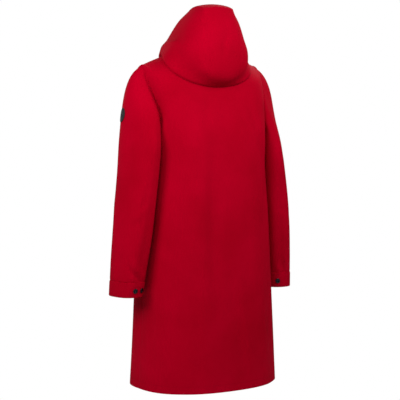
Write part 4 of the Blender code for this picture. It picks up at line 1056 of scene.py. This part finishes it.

# %% [markdown]
# ## Put together
# Each piece takes its material, rides on the coat's body, and stands in place of the solid that has its form. The
# slider and its pull keep their solids and get the metal.

# %% Pieces to bodies and materials, and the list of cuts
# for each cloth piece: the cut's width, length and area in metres, and what it is sewn to
CUTS = {
    "back": ((0.62, 1.06), 0.54, ("sleeve_left", "sleeve_right")),
    "front_left": ((0.31, 1.00), 0.265, ("back",)),
    "front_right": ((0.31, 1.00), 0.265, ("back",)),
    "sleeve_left": ((0.50, 0.62), 0.20, ("back",)),
    "sleeve_right": ((0.50, 0.62), 0.20, ("back",)),
    "cuff_left": ((0.32, 0.045), 0.0142, ("sleeve_left",)),
    "cuff_right": ((0.32, 0.045), 0.0142, ("sleeve_right",)),
    "hood_left": ((0.33, 0.26), 0.038, ("back",)),
    "hood_right": ((0.33, 0.26), 0.038, ("back",)),
    "hood_centre": ((0.11, 0.35), 0.036, ("hood_left", "hood_right")),
}
pieces = {name: bpy.data.objects["cloth_" + name] for name in CUTS}
for name, piece in pieces.items():
    piece.data.materials.append(softshell)
    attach(piece, "coat")
    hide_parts(name)
for name, sewn in threads.items():
    sewn.data.materials.append(thread)
    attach(sewn, "coat")
for piece, material, slot, node_name in (
    (zip_tape, tape_cloth, "zip_cloth", "zip_tape"),
    (zip_teeth, acetal, "zip_plastic", "zip_teeth"),
    (badge, rubber, "badge_rubber", "badge"),
    *((snaps[name], gunmetal, "dark_metal", name) for name in snaps),
):
    piece.data.materials.append(material)
    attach(piece, "coat")
    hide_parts(node_name)
for name in ("zip_slider", "zip_pull"):
    for place in bpy.data.objects[name].material_slots:
        place.material = gunmetal
print(len(pieces) + len(threads) + len(snaps) + 3, "pieces")

# %% [markdown]
# ## Floor and light
# The surroundings are plain and white. A soft light hangs above the camera's line, close to the coat, so the cloth
# is brightest at the hood and shoulders and falls off towards the hem. Two weaker ones open the sides, and two
# stand on the far side and light the coat's front.

# %% Floor and light
FLOOR_HEIGHT, FLOOR_RADIUS = -1.40, 1.70
paper, shader = new_material("paper_white_matt", "#F4F4F4", 0.9, Specular_IOR_Level=0.1)
place = node(paper, "ShaderNodeTexCoord")
fibre = node(paper, "ShaderNodeTexNoise", {}, {"Vector": place.outputs["Object"], "Scale": 60.0, "Detail": 2.0})
shade = node(paper, "ShaderNodeValToRGB", {}, {"Fac": fibre.outputs["Fac"]})
shade.color_ramp.elements[0].color, shade.color_ramp.elements[1].color = linear("#F1F1F1"), linear("#F7F7F7")
link(paper, shade.outputs["Color"], shader.inputs["Base Color"])
turn = np.arange(64) * 2 * math.pi / 64
rim = np.stack([FLOOR_RADIUS * np.cos(turn), FLOOR_RADIUS * np.sin(turn), np.full(64, FLOOR_HEIGHT)], -1)
floor = mesh_object("floor", rim, np.arange(64)[None])
floor.data.materials.append(paper)

FILL = 0.06
world = bpy.data.worlds.new("studio")
bpy.context.scene.world = world
world.use_nodes = True
fill = world.node_tree.nodes["Background"]
fill.inputs["Strength"].default_value = FILL
seen = node(world, "ShaderNodeBackground", {}, {"Color": (1.0, 1.0, 1.0, 1.0), "Strength": 1.0})
fill.inputs["Color"].default_value = (1.0, 1.0, 1.0, 1.0)
path = node(world, "ShaderNodeLightPath")
either = node(world, "ShaderNodeMixShader", {}, {0: path.outputs["Is Camera Ray"], 1: fill.outputs[0], 2: seen.outputs[0]})
link(world, either.outputs[0], world.node_tree.nodes["World Output"].inputs["Surface"])


def soft_light(name, left, up, near, size, watts):
    """A square soft light at a place given from the camera's view: to its left, up, and from the coat towards it."""
    data = bpy.data.lights.new(name, "AREA")
    data.shape, data.size, data.energy = "SQUARE", size, watts
    light = bpy.data.objects.new(name, data)
    towards = Vector((math.sin(VIEW_TURN), math.cos(VIEW_TURN), 0))
    light.location = AIM - to_right * left + Vector((0, 0, up)) + towards * near
    light.rotation_euler = (AIM - light.location).to_track_quat("-Z", "Y").to_euler()
    bpy.context.scene.collection.objects.link(light)
    return light


soft_light("key", 0.1, 0.9, 1.4, 0.8, 13.0)
soft_light("left", 1.2, 0.7, 1.2, 0.8, 19.0)
soft_light("right", -1.2, 1.0, 0.55, 0.7, 18.0)
soft_light("far_side", -0.6, 1.5, -1.8, 1.5, 32.0)
soft_light("far_left", 1.6, 1.0, -1.6, 1.5, 14.0)
bpy.context.scene.view_settings.view_transform = "Standard"
print("lit, floor at", FLOOR_HEIGHT)
